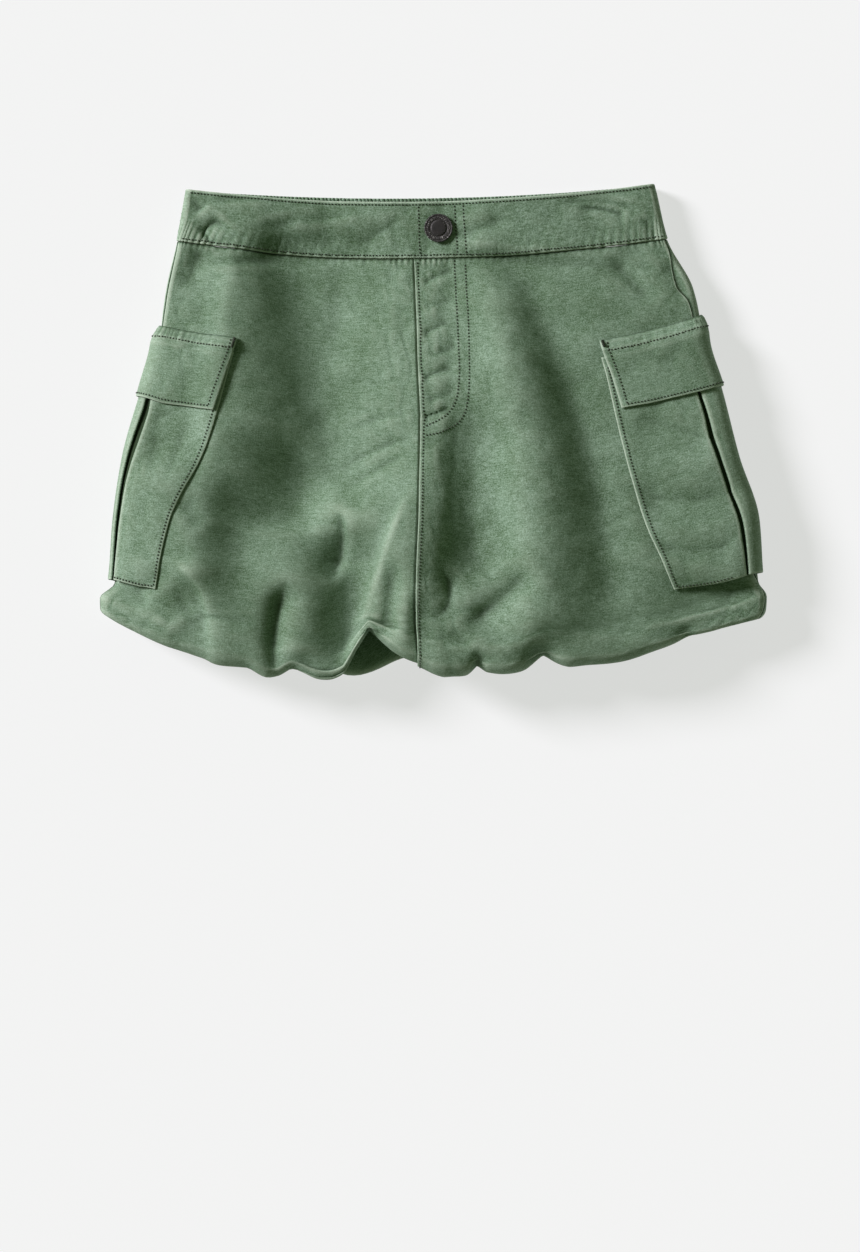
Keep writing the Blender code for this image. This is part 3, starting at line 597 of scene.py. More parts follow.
def make_sheet(name, node, middle, wall, seed, rims=(0, 0, 0, 0), lap=0.0, crisp=0.0, shade=0.0):
    """A sheet of twill from a grid of points in the middle of its wall."""
    rows, columns = middle.shape[:2]
    middle = np.maximum(middle, [-np.inf, -np.inf, wall / 2 + FLOOR_GAP])
    out = grid_normals(middle)
    half = wall / 2 * rim_share(rows, columns)[..., None]
    # Below 0 the value is painted shade: from hollows, from rims below 0 and from the shade given.
    worn = np.clip(wear_and_shade_of(middle, out, rims, lap, crisp) - shade, -1.0, 1.0)
    u, v = arc(middle, 1), arc(middle, 0)
    u = u - u[:, columns // 2][:, None]
    flat = np.stack([u, v, np.full_like(u, seed * 37.0)], -1)
    count = rows * columns
    i = (np.arange(rows - 1)[:, None] * columns + np.arange(columns - 1)).ravel()
    top = np.stack([i, i + columns, i + columns + 1, i + 1], -1)
    under = top[:, ::-1] + count
    rim = np.concatenate([
        np.arange(columns),
        np.arange(1, rows) * columns + columns - 1,
        (rows - 1) * columns + np.arange(columns - 2, -1, -1),
        np.arange(rows - 2, 0, -1) * columns,
    ])
    following = np.roll(rim, -1)
    sides = np.stack([rim, following, following + count, rim + count], -1)
    points = np.concatenate([(middle + out * half).reshape(-1, 3), (middle - out * half).reshape(-1, 3)])
    flat, worn = flat.reshape(-1, 3), worn.ravel()
    obj = make_mesh(name, points, [top, under, sides], twill,
                    flat=np.concatenate([flat, flat]), worn=np.concatenate([worn, worn * 0.5]))
    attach(obj, "root")
    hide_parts(node)
    area = arc(middle, 1)[:, -1].mean() * arc(middle, 0)[-1].mean() / 100
    print(f"{name}: {rows} x {columns} points, about {area:.0f} square centimetres")


# %% [markdown]
# ## Thread
#
# A topstitch is a row of short, tight bumps of thread, each going down into the cloth at both ends. A
# texture of dots would stay flat when light grazes it, so every stitch is a small body: five sides
# round, high in its middle and sunk at its ends. Whole rows are joined into one object.

# %% Sewing along a line
STITCH, STITCH_SHARE, THREAD = 2.0, 0.6, 0.95  # pitch, share of it that shows, thickness
# The rings of a stitch: their place along it, their height over the cloth and their girth.
STITCH_RINGS = [(-0.5, -0.28, 0.45), (-0.32, 0.06, 0.95), (0.0, 0.16, 1.0), (0.32, 0.06, 0.95),
                (0.5, -0.28, 0.45)]
STITCH_SIDES = 5


def sew(lines, pitch=STITCH, thick=THREAD, share=STITCH_SHARE):
    """Stitches along lines. Each line is (points on the cloth, normals there), in millimetres."""
    bodies, faces = [], []
    start, rings = 0, len(STITCH_RINGS)
    stations, lift, girth = np.array(STITCH_RINGS).T
    stations, lift, girth = stations * share * pitch, lift * (thick / THREAD), girth * thick / 2
    angles = np.arange(STITCH_SIDES) * math.tau / STITCH_SIDES
    for points, out in lines:
        length = np.concatenate([[0], np.cumsum(np.linalg.norm(np.diff(points, axis=0), axis=1))])
        count = max(1, int(length[-1] / pitch))
        centres = (np.arange(count) + 0.5) * length[-1] / count
        at = centres[:, None] + stations[None, :]
        place = np.stack([np.interp(at, length, points[:, k]) for k in range(3)], -1)
        normal = np.stack([np.interp(at, length, out[:, k]) for k in range(3)], -1)
        along = unit(np.gradient(place, axis=1))
        side = unit(np.cross(along, normal))
        normal = np.cross(side, along)
        round_ = np.cos(angles)[:, None] * side[:, :, None] + np.sin(angles)[:, None] * normal[:, :, None]
        body = (place + normal * lift[:, None])[:, :, None] + round_ * girth[:, None, None]
        bodies.append(body.reshape(-1, 3))
        sides = np.arange(STITCH_SIDES)
        base = (np.arange(count)[:, None] * rings + np.arange(rings - 1))[..., None] * STITCH_SIDES + start
        a, b = base + sides, base + (sides + 1) % STITCH_SIDES
        faces.append(np.stack([a, b, b + STITCH_SIDES, a + STITCH_SIDES], -1).reshape(-1, 4))
        start += len(bodies[-1])
    return np.concatenate(bodies), faces


def make_stitches(name, lines, **kind):
    points, faces = sew(lines, **kind)
    obj = make_mesh(name, points, faces, thread, flat=points, worn=np.zeros(len(points)))
    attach(obj, "root")
    print(f"{name}: {len(points) // (len(STITCH_RINGS) * STITCH_SIDES)} stitches")


print(f"a stitch shows {STITCH * STITCH_SHARE:.1f} mm of thread")

# %% [markdown]
# ## A way to write shader maths
#
# A material is a net of nodes. Written out node by node, even a simple sum takes six lines, so a small
# class wraps a socket, and an expression such as `1 - mask` adds its own Math nodes. Any other node
# comes from one method, which takes the node's type, its settings and its sockets.

# %% Sockets that can be added and multiplied
def operator(operation, swapped=False):
    """An operator of a wire, which adds a Math node."""

    def apply(self, other):
        first, second = (other, self) if swapped else (self, other)
        return self.finish.node("ShaderNodeMath", {"operation": operation}, {0: first, 1: second})

    return apply


class Wire:
    """A node's output, on which Python's operators work."""

    __add__, __radd__ = operator("ADD"), operator("ADD", swapped=True)
    __sub__, __rsub__ = operator("SUBTRACT"), operator("SUBTRACT", swapped=True)
    __mul__, __rmul__ = operator("MULTIPLY"), operator("MULTIPLY", swapped=True)

    def __init__(self, finish, socket):
        self.finish, self.socket = finish, socket

    def clamped(self):
        return self.finish.node("ShaderNodeClamp", {}, {"Value": self, "Min": 0.0, "Max": 1.0})

    def sine(self):
        return self.finish.node("ShaderNodeMath", {"operation": "SINE"}, {0: self})


class Finish:
    """One material, and the means to add nodes to it."""

    def __init__(self, name):
        self.material = bpy.data.materials.new(name)
        self.material.use_nodes = True
        self.tree = self.material.node_tree
        self.shader = self.tree.nodes["Principled BSDF"]

    def node(self, kind, settings, sockets, out=0):
        made = self.tree.nodes.new(kind)
        for key, value in settings.items():
            if key == "stops":
                elements = made.color_ramp.elements
                while len(elements) < len(value):
                    elements.new(0.5)
                for element, (at, colour) in zip(elements, value):
                    element.position, element.color = at, (*colour, 1.0)
            else:
                setattr(made, key, value)
        for key, value in sockets.items():
            self.put(made.inputs[key], value)
        return Wire(self, made.outputs[out])

    def put(self, socket, value):
        """Sets a socket, or links it where the value is a wire."""
        if isinstance(value, Wire):
            self.tree.links.new(value.socket, socket)
        elif isinstance(value, tuple) and len(value) == 3 and len(socket.default_value) == 4:
            socket.default_value = (*value, 1.0)
        else:
            socket.default_value = value

    def set(self, **sockets):
        for key, value in sockets.items():
            self.put(self.shader.inputs[key.replace("_", " ")], value)

    def mix(self, share, first, second):
        """A mix of two colours."""
        sockets = {"Factor": share, 6: first, 7: second}
        return self.node("ShaderNodeMix", {"data_type": "RGBA"}, sockets, out=2)

    def noise(self, vector, scale, detail=2.0, roughness=0.5):
        sockets = {"Vector": vector, "Scale": scale, "Detail": detail, "Roughness": roughness}
        return self.node("ShaderNodeTexNoise", {}, sockets)

    def kept(self, name, out=1):
        """A value kept on the vertices."""
        return self.node("ShaderNodeAttribute", {"attribute_name": name}, {}, out=out)

    def bump(self, height, strength, distance):
        sockets = {"Strength": strength, "Distance": distance, "Height": height}
        self.set(Normal=self.node("ShaderNodeBump", {}, sockets))


print("a wire knows + - and *")

# %% [markdown]
# ## Washed twill
#
# The cloth was dyed as a finished garment, so its colour is uneven: cloudy over a few centimetres, with
# fine streaks where threads are thicker, and paler wherever an edge has rubbed. Hollows, some seams and
# the insides of the pleats get a painted shade. Twill shows as close diagonal ribs. All of it is placed
# by the flat cloth's own millimetres, which each vertex has kept.

# %% The twill's finish
TWILL_MID = (0.158, 0.238, 0.155)
TWILL_DARK = (0.070, 0.124, 0.058)
TWILL_PALE = (0.285, 0.392, 0.294)
TWILL_WORN = (0.42, 0.50, 0.39)
# a dark green painted as shade in hollows, along some seams and inside the pleats
TWILL_PAINTED_SHADE = (0.030, 0.050, 0.024)
# The thread's dark colour is partly its own and partly painted shade of the needle holes.
THREAD_DARK, THREAD_PALE = (0.014, 0.020, 0.010), (0.050, 0.062, 0.036)
RIB = 0.55  # millimetres between the twill's ribs
SLUB_STRETCH = (0.16, 1.1, 1.0)  # a thick thread is long and narrow


def make_twill():
    finish = Finish("washed_twill")
    flat = finish.kept("flat")
    worn = finish.kept("worn", out=2)
    cloud = finish.noise(flat, 0.035, 3.0)
    stretch = finish.node("ShaderNodeMapping", {}, {"Vector": flat, "Scale": SLUB_STRETCH})
    slub = finish.noise(stretch, 1.0, 3.0, 0.6)
    grain = finish.noise(flat, 1.3, 2.0, 0.7)
    mottle = finish.noise(flat, 0.33, 3.0, 0.6)
    split = finish.node("ShaderNodeSeparateXYZ", {}, {"Vector": flat})
    u, v = split, Wire(finish, split.socket.node.outputs[1])
    ribs = ((u * 0.62 + v) * (math.tau / RIB)).sine()
    shade = (cloud - 0.5) * 0.8 + (mottle - 0.5) * 0.6 + (slub - 0.5) + (grain - 0.5) * 2.1 + ribs * 0.05
    stops = [(0.0, TWILL_DARK), (0.5, TWILL_MID), (1.0, TWILL_PALE)]
    colour = finish.node("ShaderNodeValToRGB", {"stops": stops}, {"Fac": (shade + 0.5).clamped()})
    rubbed = worn.clamped() * (0.5 + 0.9 * finish.noise(flat, 0.55, 2.0)).clamped()
    colour = finish.mix(rubbed.clamped() * 0.9, colour, TWILL_WORN)
    # Painted shade: where the value is below 0, in hollows, at shaded seams and inside the pleats, the colour
    # goes towards a dark green.
    hollow = (0.0 - worn).clamped()
    colour = finish.mix(hollow, colour, TWILL_PAINTED_SHADE)
    height = ribs * 0.05 + (slub - 0.5) * 0.4 + (grain - 0.5) * 0.6 + (mottle - 0.5) * 0.5
    finish.bump(height, strength=0.7, distance=0.0007)
    finish.set(Base_Color=colour, Roughness=0.88, Specular_IOR_Level=0.12)
    return finish.material


def make_thread():
    finish = Finish("olive_thread")
    fuzz = finish.noise(finish.kept("flat"), 3.0)
    finish.set(Base_Color=finish.mix(fuzz, THREAD_DARK, THREAD_PALE), Roughness=0.8)
    return finish.material


twill, thread = make_twill(), make_thread()
print(f"{len(twill.node_tree.nodes)} nodes make the twill")

# %% [markdown]
# ## The fronts
#
# Each front is one panel, from the waist seam down over the hem and back up inside to the hem band. The
# right one laps over the left one at the centre, and its edge steps up there by the wall of the cloth.

# %% The left and the right front
CLOTH = 1.2  # the wall of the twill
SEAM_GAP, LAP, LAP_GAP = 0.3, 6.0, 0.4  # between pieces, one front over the other, between those
LAP_SLOPE = (LAP + 2.0, LAP + 16.0)
LEFT_WIDE, RIGHT_WIDE = 185.0, 190.0  # about the cloth across each front
FRONT_SPACING, FRONT_DRAW = 1.2, 0.4  # from column to column, and how much closer they lie at the sides


def panel_runs(spacing):
    return SEAM_GAP + rows_across(RETURN_END - SEAM_GAP, spacing) * (RETURN_END - SEAM_GAP)


def panel_shares(length, spacing, amount):
    """Shares across a panel, closer together at its sides, where it bends."""
    share = rows_across(length, spacing)
    bent = share - amount * np.sin(2 * math.pi * share) / (2 * math.pi)
    edge = (share < 2 / length) | (share > 1 - 2 / length)
    return np.where(edge, share * (1 - amount) + np.where(share > 0.5, amount, 0.0), bent)


def right_seam(run):
    return turn_at(seam("right", run), run)


def left_seam(run):
    return seam("left_turn", run)


def seam_gap(side_seam, run):
    turn = side_seam(run)
    slant = (side_seam(run + 1) - side_seam(run - 1)) / 2 / turns_in(1.0, turn, run)
    return turns_in(SEAM_GAP, turn, run) * np.hypot(1, slant)


def lap_step(turn, run):
    """How far the right front steps out over the left one."""
    from_edge = (turn - turn_at(seam("centre", run), run)) / turns_in(1.0, turn, run)
    return (CLOTH + LAP_GAP) * (1 - ramp(*LAP_SLOPE, from_edge))


def turns_between(start, end, length, spacing, draw):
    return start + panel_shares(length, spacing, draw) * (end - start)


run = panel_runs(FRONT_SPACING)[:, None]
under_lap = turn_at(seam("centre", run) + LAP, run)
turn = turns_between(left_seam(run), under_lap, LEFT_WIDE, FRONT_SPACING, FRONT_DRAW)
# Its top rim and its rim under the right front's lap are below 0: painted shade lines along the waist seam
# and beside the lap.
make_sheet("twill_front_left", "front_left", shell(turn, run), CLOTH, seed=1, rims=(-1, 0, 0.4, -1),
           lap=LAP + 0.9)
centre = turn_at(seam("centre", run), run)
turn = turns_between(centre, right_seam(run), RIGHT_WIDE, FRONT_SPACING, FRONT_DRAW)
front_right = out_from_shell(turn, run, lap_step(turn, run))
# Its top rim is below 0: a painted shade line along the waist seam.
make_sheet("twill_front_right", "front_right", front_right, CLOTH, seed=2, rims=(-1, 0, 0.55, 1))

# %% [markdown]
# ## The back
#
# The back runs from the right side seam underneath to the left one. It is pressed flat where it rests.

# %% The back panel
BACK_WIDE, BACK_SPACING, BACK_DRAW = 390.0, 2.4, 0.6

run = panel_runs(BACK_SPACING)[:, None]
start = right_seam(run) + seam_gap(right_seam, run)
end = 4.0 + left_seam(run) - seam_gap(left_seam, run)
turn = turns_between(start, end, BACK_WIDE, BACK_SPACING, BACK_DRAW)
# Its top rim and both side rims are below 0: painted shade lines along the waist seam and the side seams.
make_sheet("twill_back", "back", shell(turn, run), CLOTH, seed=3, rims=(-1, 0, -1, -1))

# %% [markdown]
# ## The bands
#
# The front waistband is plain. The back one holds elastic, which draws it into close vertical ruffles.
# Where the front dips a little below the back, those ruffles show as a fringe along the top edge.

# %% The waistbands and the hem band
BAND_CLOTH, RUFFLED_CLOTH, HEM_BAND_CLOTH = 2.4, 1.8, 1.6
WAIST_TOP, WAIST_SEAM = -34.0, 0.0
WAIST_WIDE, HEM_WIDE, BAND_DRAW = 300.0, 340.0, 0.7
RUFFLE, RUFFLE_DEPTH = 2.25, 0.9  # millimetres from one ruffle to the next, and how deep they are


def band_points(first_run, last_run, centre_turn, length, spacing, spacing_down):
    height = last_run - first_run
    run = first_run + rows_across(height, spacing_down)[:, None] * height
    half = 1.0 - turns_in(SEAM_GAP, 1.0, run)
    return shell(centre_turn + (2 * panel_shares(length, spacing, BAND_DRAW) - 1) * half, run)


def ruched(points):
    """The band drawn into ruffles, uneven in height and spacing."""
    out = grid_normals(points)
    along, down = arc(points, 1), arc(points, 0)
    sway = rumple(along / 9, down / 30, 5) * 0.9 + rumple(along / 3.1, down / 12, 6) * 0.35
    wave = np.sin(math.tau * along / RUFFLE + sway * 2.2)
    strength = (0.75 + 0.35 * rumple(along / 5, down / 9, 7)) * (1 - 0.9 * ramp(-6.0, -1.0, down - down[-1:]))
    return points + out * (wave * strength * RUFFLE_DEPTH)[..., None]


band = band_points(WAIST_TOP, WAIST_SEAM, 0.0, WAIST_WIDE, 1.1, 1.1)
make_sheet("band_front", "waistband_front", band, BAND_CLOTH, seed=4, rims=(0.9, 0.9, 0, 0))
elastic = ruched(band_points(WAIST_TOP, WAIST_SEAM, 2.0, WAIST_WIDE, 0.36, 2.4))
# crisp widens the range of the bend's value, so the ruffles get paler crests and deeper painted shade in
# their hollows.
make_sheet("band_back", "waistband_back", elastic, RUFFLED_CLOTH, seed=5, rims=(0.25, 0.6, 0, 0), crisp=0.4)
for seed, (side, centre_turn) in enumerate([("front", 0.0), ("back", 2.0)], 6):
    hem_band = band_points(RETURN_END + SEAM_GAP, BAND_END, centre_turn, HEM_WIDE, 2.0, 2.0)
    make_sheet(f"hem_draw_{side}", f"hem_band_{side}", hem_band, HEM_BAND_CLOTH, seed)

# %% [markdown]
# ## The cargo pockets
#
# Each pocket lies round a side fold, with its box pleat at the very side. The cloth of the pocket is
# followed in one path: from its front edge over its face, under at the pleat, behind, back out on the
# other side, and on to its rear edge underneath. The path's corners are rounded by cutting them.

# %% The pockets' tables
Level = namedtuple("Level", "down front pleat rear")
Patch = namedtuple("Patch", "name top_front top_side foot_front foot_side levels")
LEFT_POCKET = Patch(
    "pocket_left", 66, 66, 220, 225,
    [
        Level(0, -118, -0.91, -122), Level(0.35, -132, -0.92, -138), Level(0.7, -154, -0.93, -158),
        Level(1, -163.7, -0.94, -170),
    ],
)
RIGHT_POCKET = Patch(
    "pocket_right", 66, 62, 215, 221,
    [
        Level(0, 100.0, 0.83, 126), Level(0.25, 108.8, 0.85, 136), Level(0.5, 118.2, 0.865, 146),
        Level(0.75, 129.5, 0.875, 155), Level(1, 143.9, 0.883, 164),
    ],
)
POCKET_CLOTH, LYING_GAP = 1.0, 0.3
SEAT = CLOTH / 2 + LYING_GAP + POCKET_CLOTH / 2
LAYER = POCKET_CLOTH + SEAM_GAP
POCKET_HALF, POCKET_SPACING = 45.0, 1.5  # from the pleat to an edge, and from row to row
UNDERLAY_RISE, PLEAT_GAP, PLEAT_TUCK = 0.6, 1.8, 5.0
PLEAT_SPREAD = 0.7  # how far each lip of the pleat gapes at its middle


def level(patch, name, down):
    rows = patch.levels
    return through([r.down for r in rows], [getattr(r, name) for r in rows], down)


def patch_edges(patch, down):
    run = patch.top_side + (patch.foot_side - patch.top_side) * down
    front = turn_at(level(patch, "front", down), run)
    rear = turn_at(level(patch, "rear", down), run, on_back=True)
    return front, level(patch, "pleat", down), rear


def patch_run(patch, turn, front, down):
    to_side = np.clip((turn - front) / (np.sign(front) - front), 0.0, 1.0)
    top = patch.top_front + (patch.top_side - patch.top_front) * to_side
    foot = patch.foot_front + (patch.foot_side - patch.foot_front) * to_side
    return top + (foot - top) * down


PUFF = ([-1, -0.85, -0.6, -0.3, 0, 0.15, 0.35, 0.55, 1], [0, 0.3, 0.7, 1, 1, 1, 0.5, 0, 0])


def puff(share):
    """How high a pocket stands off its panel: 0 at its edges and 1 at its pleat."""
    return through(*PUFF, share)


print(f"{LEFT_POCKET.name} runs from {LEFT_POCKET.top_side} to {LEFT_POCKET.foot_side} mm down the side")


# %% The pocket's cloth
def pocket_path():
    """Rows of (share, beside, layer) along the pocket's cloth, with the pleat folded under."""
    lip, back, turn = PLEAT_GAP / 2, PLEAT_GAP / 2 + PLEAT_TUCK, LAYER / 2
    front_half = [(share, 0.0, 1.0) for share in (-1, -0.85, -0.65, -0.45, -0.25)]
    fold_under = [(-lip - turn, 1.0), (-lip, 0.9), (-lip, 0.6), (-lip - turn, 0.5)]
    fold_back = [(-back + turn, 0.5), (-back, 0.4), (-back, 0.1), (-back + turn, 0.0)]
    near = [(0.0, beside, layer) for beside, layer in fold_under + fold_back + [(-PLEAT_TUCK / 2, 0.0)]]
    far = [(0.0, -beside, layer) for _, beside, layer in reversed(near)]
    rear_half = [(share, 0.0, 1.0) for share in (0.12, 0.2, 0.3, 0.4, 0.5, 0.62, 0.8, 1)]
    return np.array(front_half + near + [(0.0, 0.0, 0.0)] + far + rear_half)


def corners_cut(path):
    near, far = path[:-1] * 0.75 + path[1:] * 0.25, path[:-1] * 0.25 + path[1:] * 0.75
    return np.concatenate([path[:1], np.stack([near, far], 1).reshape(-1, 3), path[-1:]])


def filled_in(path):
    """The path with more rows where two of them lie far apart."""
    step = np.abs(np.diff(path, axis=0)) @ np.array([POCKET_HALF, 1.0, LAYER * 2])
    count = np.maximum(1, np.ceil(step / POCKET_SPACING)).astype(int)
    rows = [a + (b - a) * k / n for a, b, n in zip(path[:-1], path[1:], count) for k in range(n)]
    return np.array([*rows, path[-1]])


def pocket_points(patch):
    path = filled_in(corners_cut(pocket_path()))
    near_edge = np.array([[-1 + e / POCKET_HALF, 0, 1] for e in EDGE_STEPS])
    far_edge = near_edge[::-1] * [-1, 1, 1]
    inner = (path[:, 0] > near_edge[-1, 0] + 0.005) & (path[:, 0] < far_edge[0, 0] - 0.005)
    path = np.concatenate([near_edge, path[inner], far_edge])
    share, beside, layer = path.T[:, None, :]
    down = rows_across(patch.foot_side - patch.top_side, POCKET_SPACING)[:, None]
    front, pleat, rear = patch_edges(patch, down)
    turn = np.where(share < 0, pleat + share * (pleat - front), pleat + share * (rear - pleat))
    beside = beside + np.clip(beside, -1.0, 1.0) * PLEAT_SPREAD * np.sin(math.pi * down) ** 0.7
    turn = turn + np.sign(pleat) * turns_in(beside, pleat, (patch.top_side + patch.foot_side) / 2)
    offset = SEAT + (UNDERLAY_RISE + 2 * LAYER * layer) * puff(share)
    points = out_from_shell(turn, patch_run(patch, turn, front, down), offset)
    way = int(np.sign(pleat.flat[0]))
    # The second value is painted shade for the cloth folded inside the pleat, which the pleat would shadow.
    return points[:, ::way], 2 * (1 - ramp(0.6, 0.97, layer))[:, ::way]


cargo_left, pleat_shade_left = pocket_points(LEFT_POCKET)
cargo_right, pleat_shade_right = pocket_points(RIGHT_POCKET)
POCKET_RIMS = (0.5, 0.9, 0.9, 0.9)
make_sheet("cargo_left", "pocket_left", cargo_left, POCKET_CLOTH, 8, POCKET_RIMS, shade=pleat_shade_left)
make_sheet("cargo_right", "pocket_right", cargo_right, POCKET_CLOTH, 9, POCKET_RIMS, shade=pleat_shade_right)

# %% [markdown]
# ## The flaps
#
# A flap is double cloth, sewn to the panel above the pocket, and it falls over the pocket's mouth.

# %% The flaps' cloth
LEFT_FLAP = Patch(
    "flap_left", 57, 55.5, 103.5, 105,
    [Level(0, -116, -0.91, -119), Level(1, -129, -0.91, -129)],
)
RIGHT_FLAP = Patch(
    "flap_right", 56, 49.5, 98.5, 97.5,
    [Level(0, 98.5, 0.83, 122), Level(1, 112, 0.84, 133)],
)
FLAP_CLOTH = 1.2
FLAP_SEAT = CLOTH / 2 + LYING_GAP + FLAP_CLOTH / 2
FLAP_CLEAR = POCKET_CLOTH / 2 + LYING_GAP + SEAM_GAP + FLAP_CLOTH / 2
FLAP_STEP = 0.25  # share of the flap over which it steps out onto the pocket
FLAP_WIDE, FLAP_TALL, FLAP_SPACING = 62.0, 46.0, 0.8
FLAP_PUCKER, FLAP_PITCH, FLAP_ZONE = 0.8, 4.4, (0.0, 0.05, 0.12, 0.22)


def pocket_face(pocket, turn, run):
    down = np.clip((run - pocket.top_side) / (pocket.foot_side - pocket.top_side), 0.0, 1.0)
    front, pleat, rear = patch_edges(pocket, down)
    half = np.where(np.abs(turn) < np.abs(pleat), pleat - front, rear - pleat)
    share = np.clip((turn - pleat) / half, -1.0, 1.0)
    return SEAT + (UNDERLAY_RISE + 2 * LAYER) * puff(share)


def flap_points(patch, pocket):
    across = rows_across(FLAP_WIDE, FLAP_SPACING)[None, :]
    down = rows_across(FLAP_TALL, FLAP_SPACING)[:, None]
    front, _, rear = patch_edges(patch, down)
    turn = front + across * (rear - front)
    run = patch_run(patch, turn, front, down)
    over = pocket_face(pocket, turn, run) + FLAP_CLEAR
    offset = FLAP_SEAT + (over - FLAP_SEAT) * ramp(0.0, FLAP_STEP, down)
    puckers = 1 + puckered(turn * HALF_ROUND + down * 9, FLAP_PITCH, 12)
    offset = offset + FLAP_PUCKER * within(FLAP_ZONE, down) * puckers
    points = out_from_shell(turn, run, offset)
    return points[:, :: int(np.sign(front.flat[0]))]


# The top rim, where the flap is sewn on, is below 0: a painted shadow line.
FLAP_RIMS = (-0.7, 0.9, 0.9, 0.9)
lid_left, lid_right = flap_points(LEFT_FLAP, LEFT_POCKET), flap_points(RIGHT_FLAP, RIGHT_POCKET)
make_sheet("lid_left", "flap_left", lid_left, FLAP_CLOTH, 10, FLAP_RIMS)
make_sheet("lid_right", "flap_right", lid_right, FLAP_CLOTH, 11, FLAP_RIMS)

# %% [markdown]
# ## Topstitching
#
# Stitches hold a seam flat, so they run beside it: two millimetres from the waistband's edges, along the
# flaps and pockets, twice round the mock fly. Rows on a grid of points are found by their place on it,
# and rows on the fronts by their place in plan.

# %% Finding places on the cloth
LINE_STEP = 2.0  # millimetres between the points of a line


def row_on(points, wall, across, down):
    """A line over a grid of points, given by shares across and down it, lifted onto its face."""
    rows, columns = points.shape[:2]
    u, v = arc(points, 1), arc(points, 0)
    across, down = np.broadcast_arrays(np.asarray(across, float), np.asarray(down, float))
    wide = u[rows // 2] / u[rows // 2, -1]
    tall = v[:, columns // 2] / v[-1, columns // 2]
    i = np.interp(down, tall, np.arange(rows))
    j = np.interp(across, wide, np.arange(columns))
    out = grid_normals(points)
    i0, j0 = np.minimum(i.astype(int), rows - 2), np.minimum(j.astype(int), columns - 2)
    a, b = (i - i0)[:, None], (j - j0)[:, None]

    def read(field):
        return ((1 - a) * ((1 - b) * field[i0, j0] + b * field[i0, j0 + 1])
                + a * ((1 - b) * field[i0 + 1, j0] + b * field[i0 + 1, j0 + 1]))

    normal = read(out)
    normal /= np.linalg.norm(normal, axis=-1, keepdims=True)
    return read(points) + normal * wall / 2, normal


def on_right_front(turn, run):
    return out_from_shell(turn, run, CLOTH / 2 + lap_step(turn, run)), normals(shell, turn, run)


def front_line(places):
    """A line on the right front through places of the plan, with its normals."""
    places = np.array(places, float)
    length = np.concatenate([[0], np.cumsum(np.hypot(*np.diff(places, axis=0).T))])
    at = np.linspace(0, length[-1], int(length[-1] / LINE_STEP))
    x, y = through(length, places[:, 0], at), through(length, places[:, 1], at)
    runs = np.linspace(0.5, HEM_EDGE - 2, 160)
    run = np.array([np.interp(-py, -shell(turn_at(px, runs), runs)[..., 1], runs) for px, py in zip(x, y)])
    return on_right_front(turn_at(x, run), run)


def along(low, high, count=120):
    return np.linspace(low, high, count)


print("a row can be placed by its share of a grid, or by its place in plan")

# %% The rows of stitches
FLY_INNER = [(12.7, 102), (13.7, 82.5), (14.9, 58.5), (15.7, 34.5), (14.9, 22.5), (12.5, 14.7),
             (7.6, 8.1), (1.9, 4.5), (-4.4, 1.5)]
FLY_OUTER = [(19.3, 99), (20.1, 82.5), (21.3, 62.7), (21.7, 34.5), (21.3, 22.5), (19.7, 12.3),
             (14.9, 3.9), (10.0, 0.9), (2.8, -2.4), (-4.4, -3.9)]
LAP_ROW = 1.8  # millimetres from the lap's edge

band_rows = [row_on(band, BAND_CLOTH, along(0.012, 0.988, 400), down) for down in (0.055, 0.945)]
band_rows += [row_on(band, BAND_CLOTH, across, along(0.07, 0.93, 30)) for across in (0.497, 0.573, 0.591)]
make_stitches("band_stitches", band_rows)
run = np.linspace(2.0, HEM_EDGE + 4, 220)
lap_row = on_right_front(turn_at(seam("centre", run) + LAP_ROW, run), run)
make_stitches("fly_stitches", [lap_row, front_line(FLY_INNER), front_line(FLY_OUTER)])

# %% Stitches on the pockets and flaps
def patch_rows(points, wall, edge, sides, foot, top=None):
    """Rows beside the edges of a patch. sides are the columns' shares that get a row."""
    height = arc(points, 0)[-1].mean()
    inside = edge / height
    rows = [row_on(points, wall, side, along(0.04, 1 - inside, 150)) for side in sides]
    foot = foot if points[0, 0, 0] > points[0, -1, 0] or points[0, 0, 0] > 0 else 1 - foot
    rows.append(row_on(points, wall, foot, np.full(len(foot), 1 - inside)))
    if top is not None:
        rows.append(row_on(points, wall, along(0.02, 0.98, 120), top / height))
    return rows


pocket_rows = []
for cargo in (cargo_left, cargo_right):
    pocket_rows += patch_rows(cargo, POCKET_CLOTH, 1.6, (0.018, 0.982), along(0.02, 0.3, 60))
    pocket_rows.append(row_on(cargo, POCKET_CLOTH, along(0.7, 0.98, 60), 0.99))
make_stitches("pocket_stitches", pocket_rows)
flap_rows = []
for lid in (lid_left, lid_right):
    flap_rows += patch_rows(lid, FLAP_CLOTH, 2.0, (0.034, 0.966), along(0.03, 0.97, 120), top=8.0)
make_stitches("flap_stitches", flap_rows)
tacks = [row_on(lid_left, FLAP_CLOTH, 0.985, along(0.02, 0.17, 12)),
         row_on(lid_right, FLAP_CLOTH, 0.015, along(0.01, 0.12, 12))]
make_stitches("bar_tacks", tacks, pitch=0.75, thick=1.9, share=1.0)

# %% [markdown]
# ## The button
#
# A tack button is turned metal: a shank, a domed rim and a dished face, dark in its hollows and rubbed
# bright on its rim. Its ring carries plain beads and nothing written.

# %% The button
GRIME_DARK, GRIME_PALE = (0.009, 0.008, 0.008), (0.028, 0.023, 0.022)
BRIGHT_METAL = (0.46, 0.44, 0.42)
BUTTON_X, BUTTON_RUN = 3.4, -17.8
BUTTON_RADIUS, BUTTON_HEIGHT = 8.5, 2.4
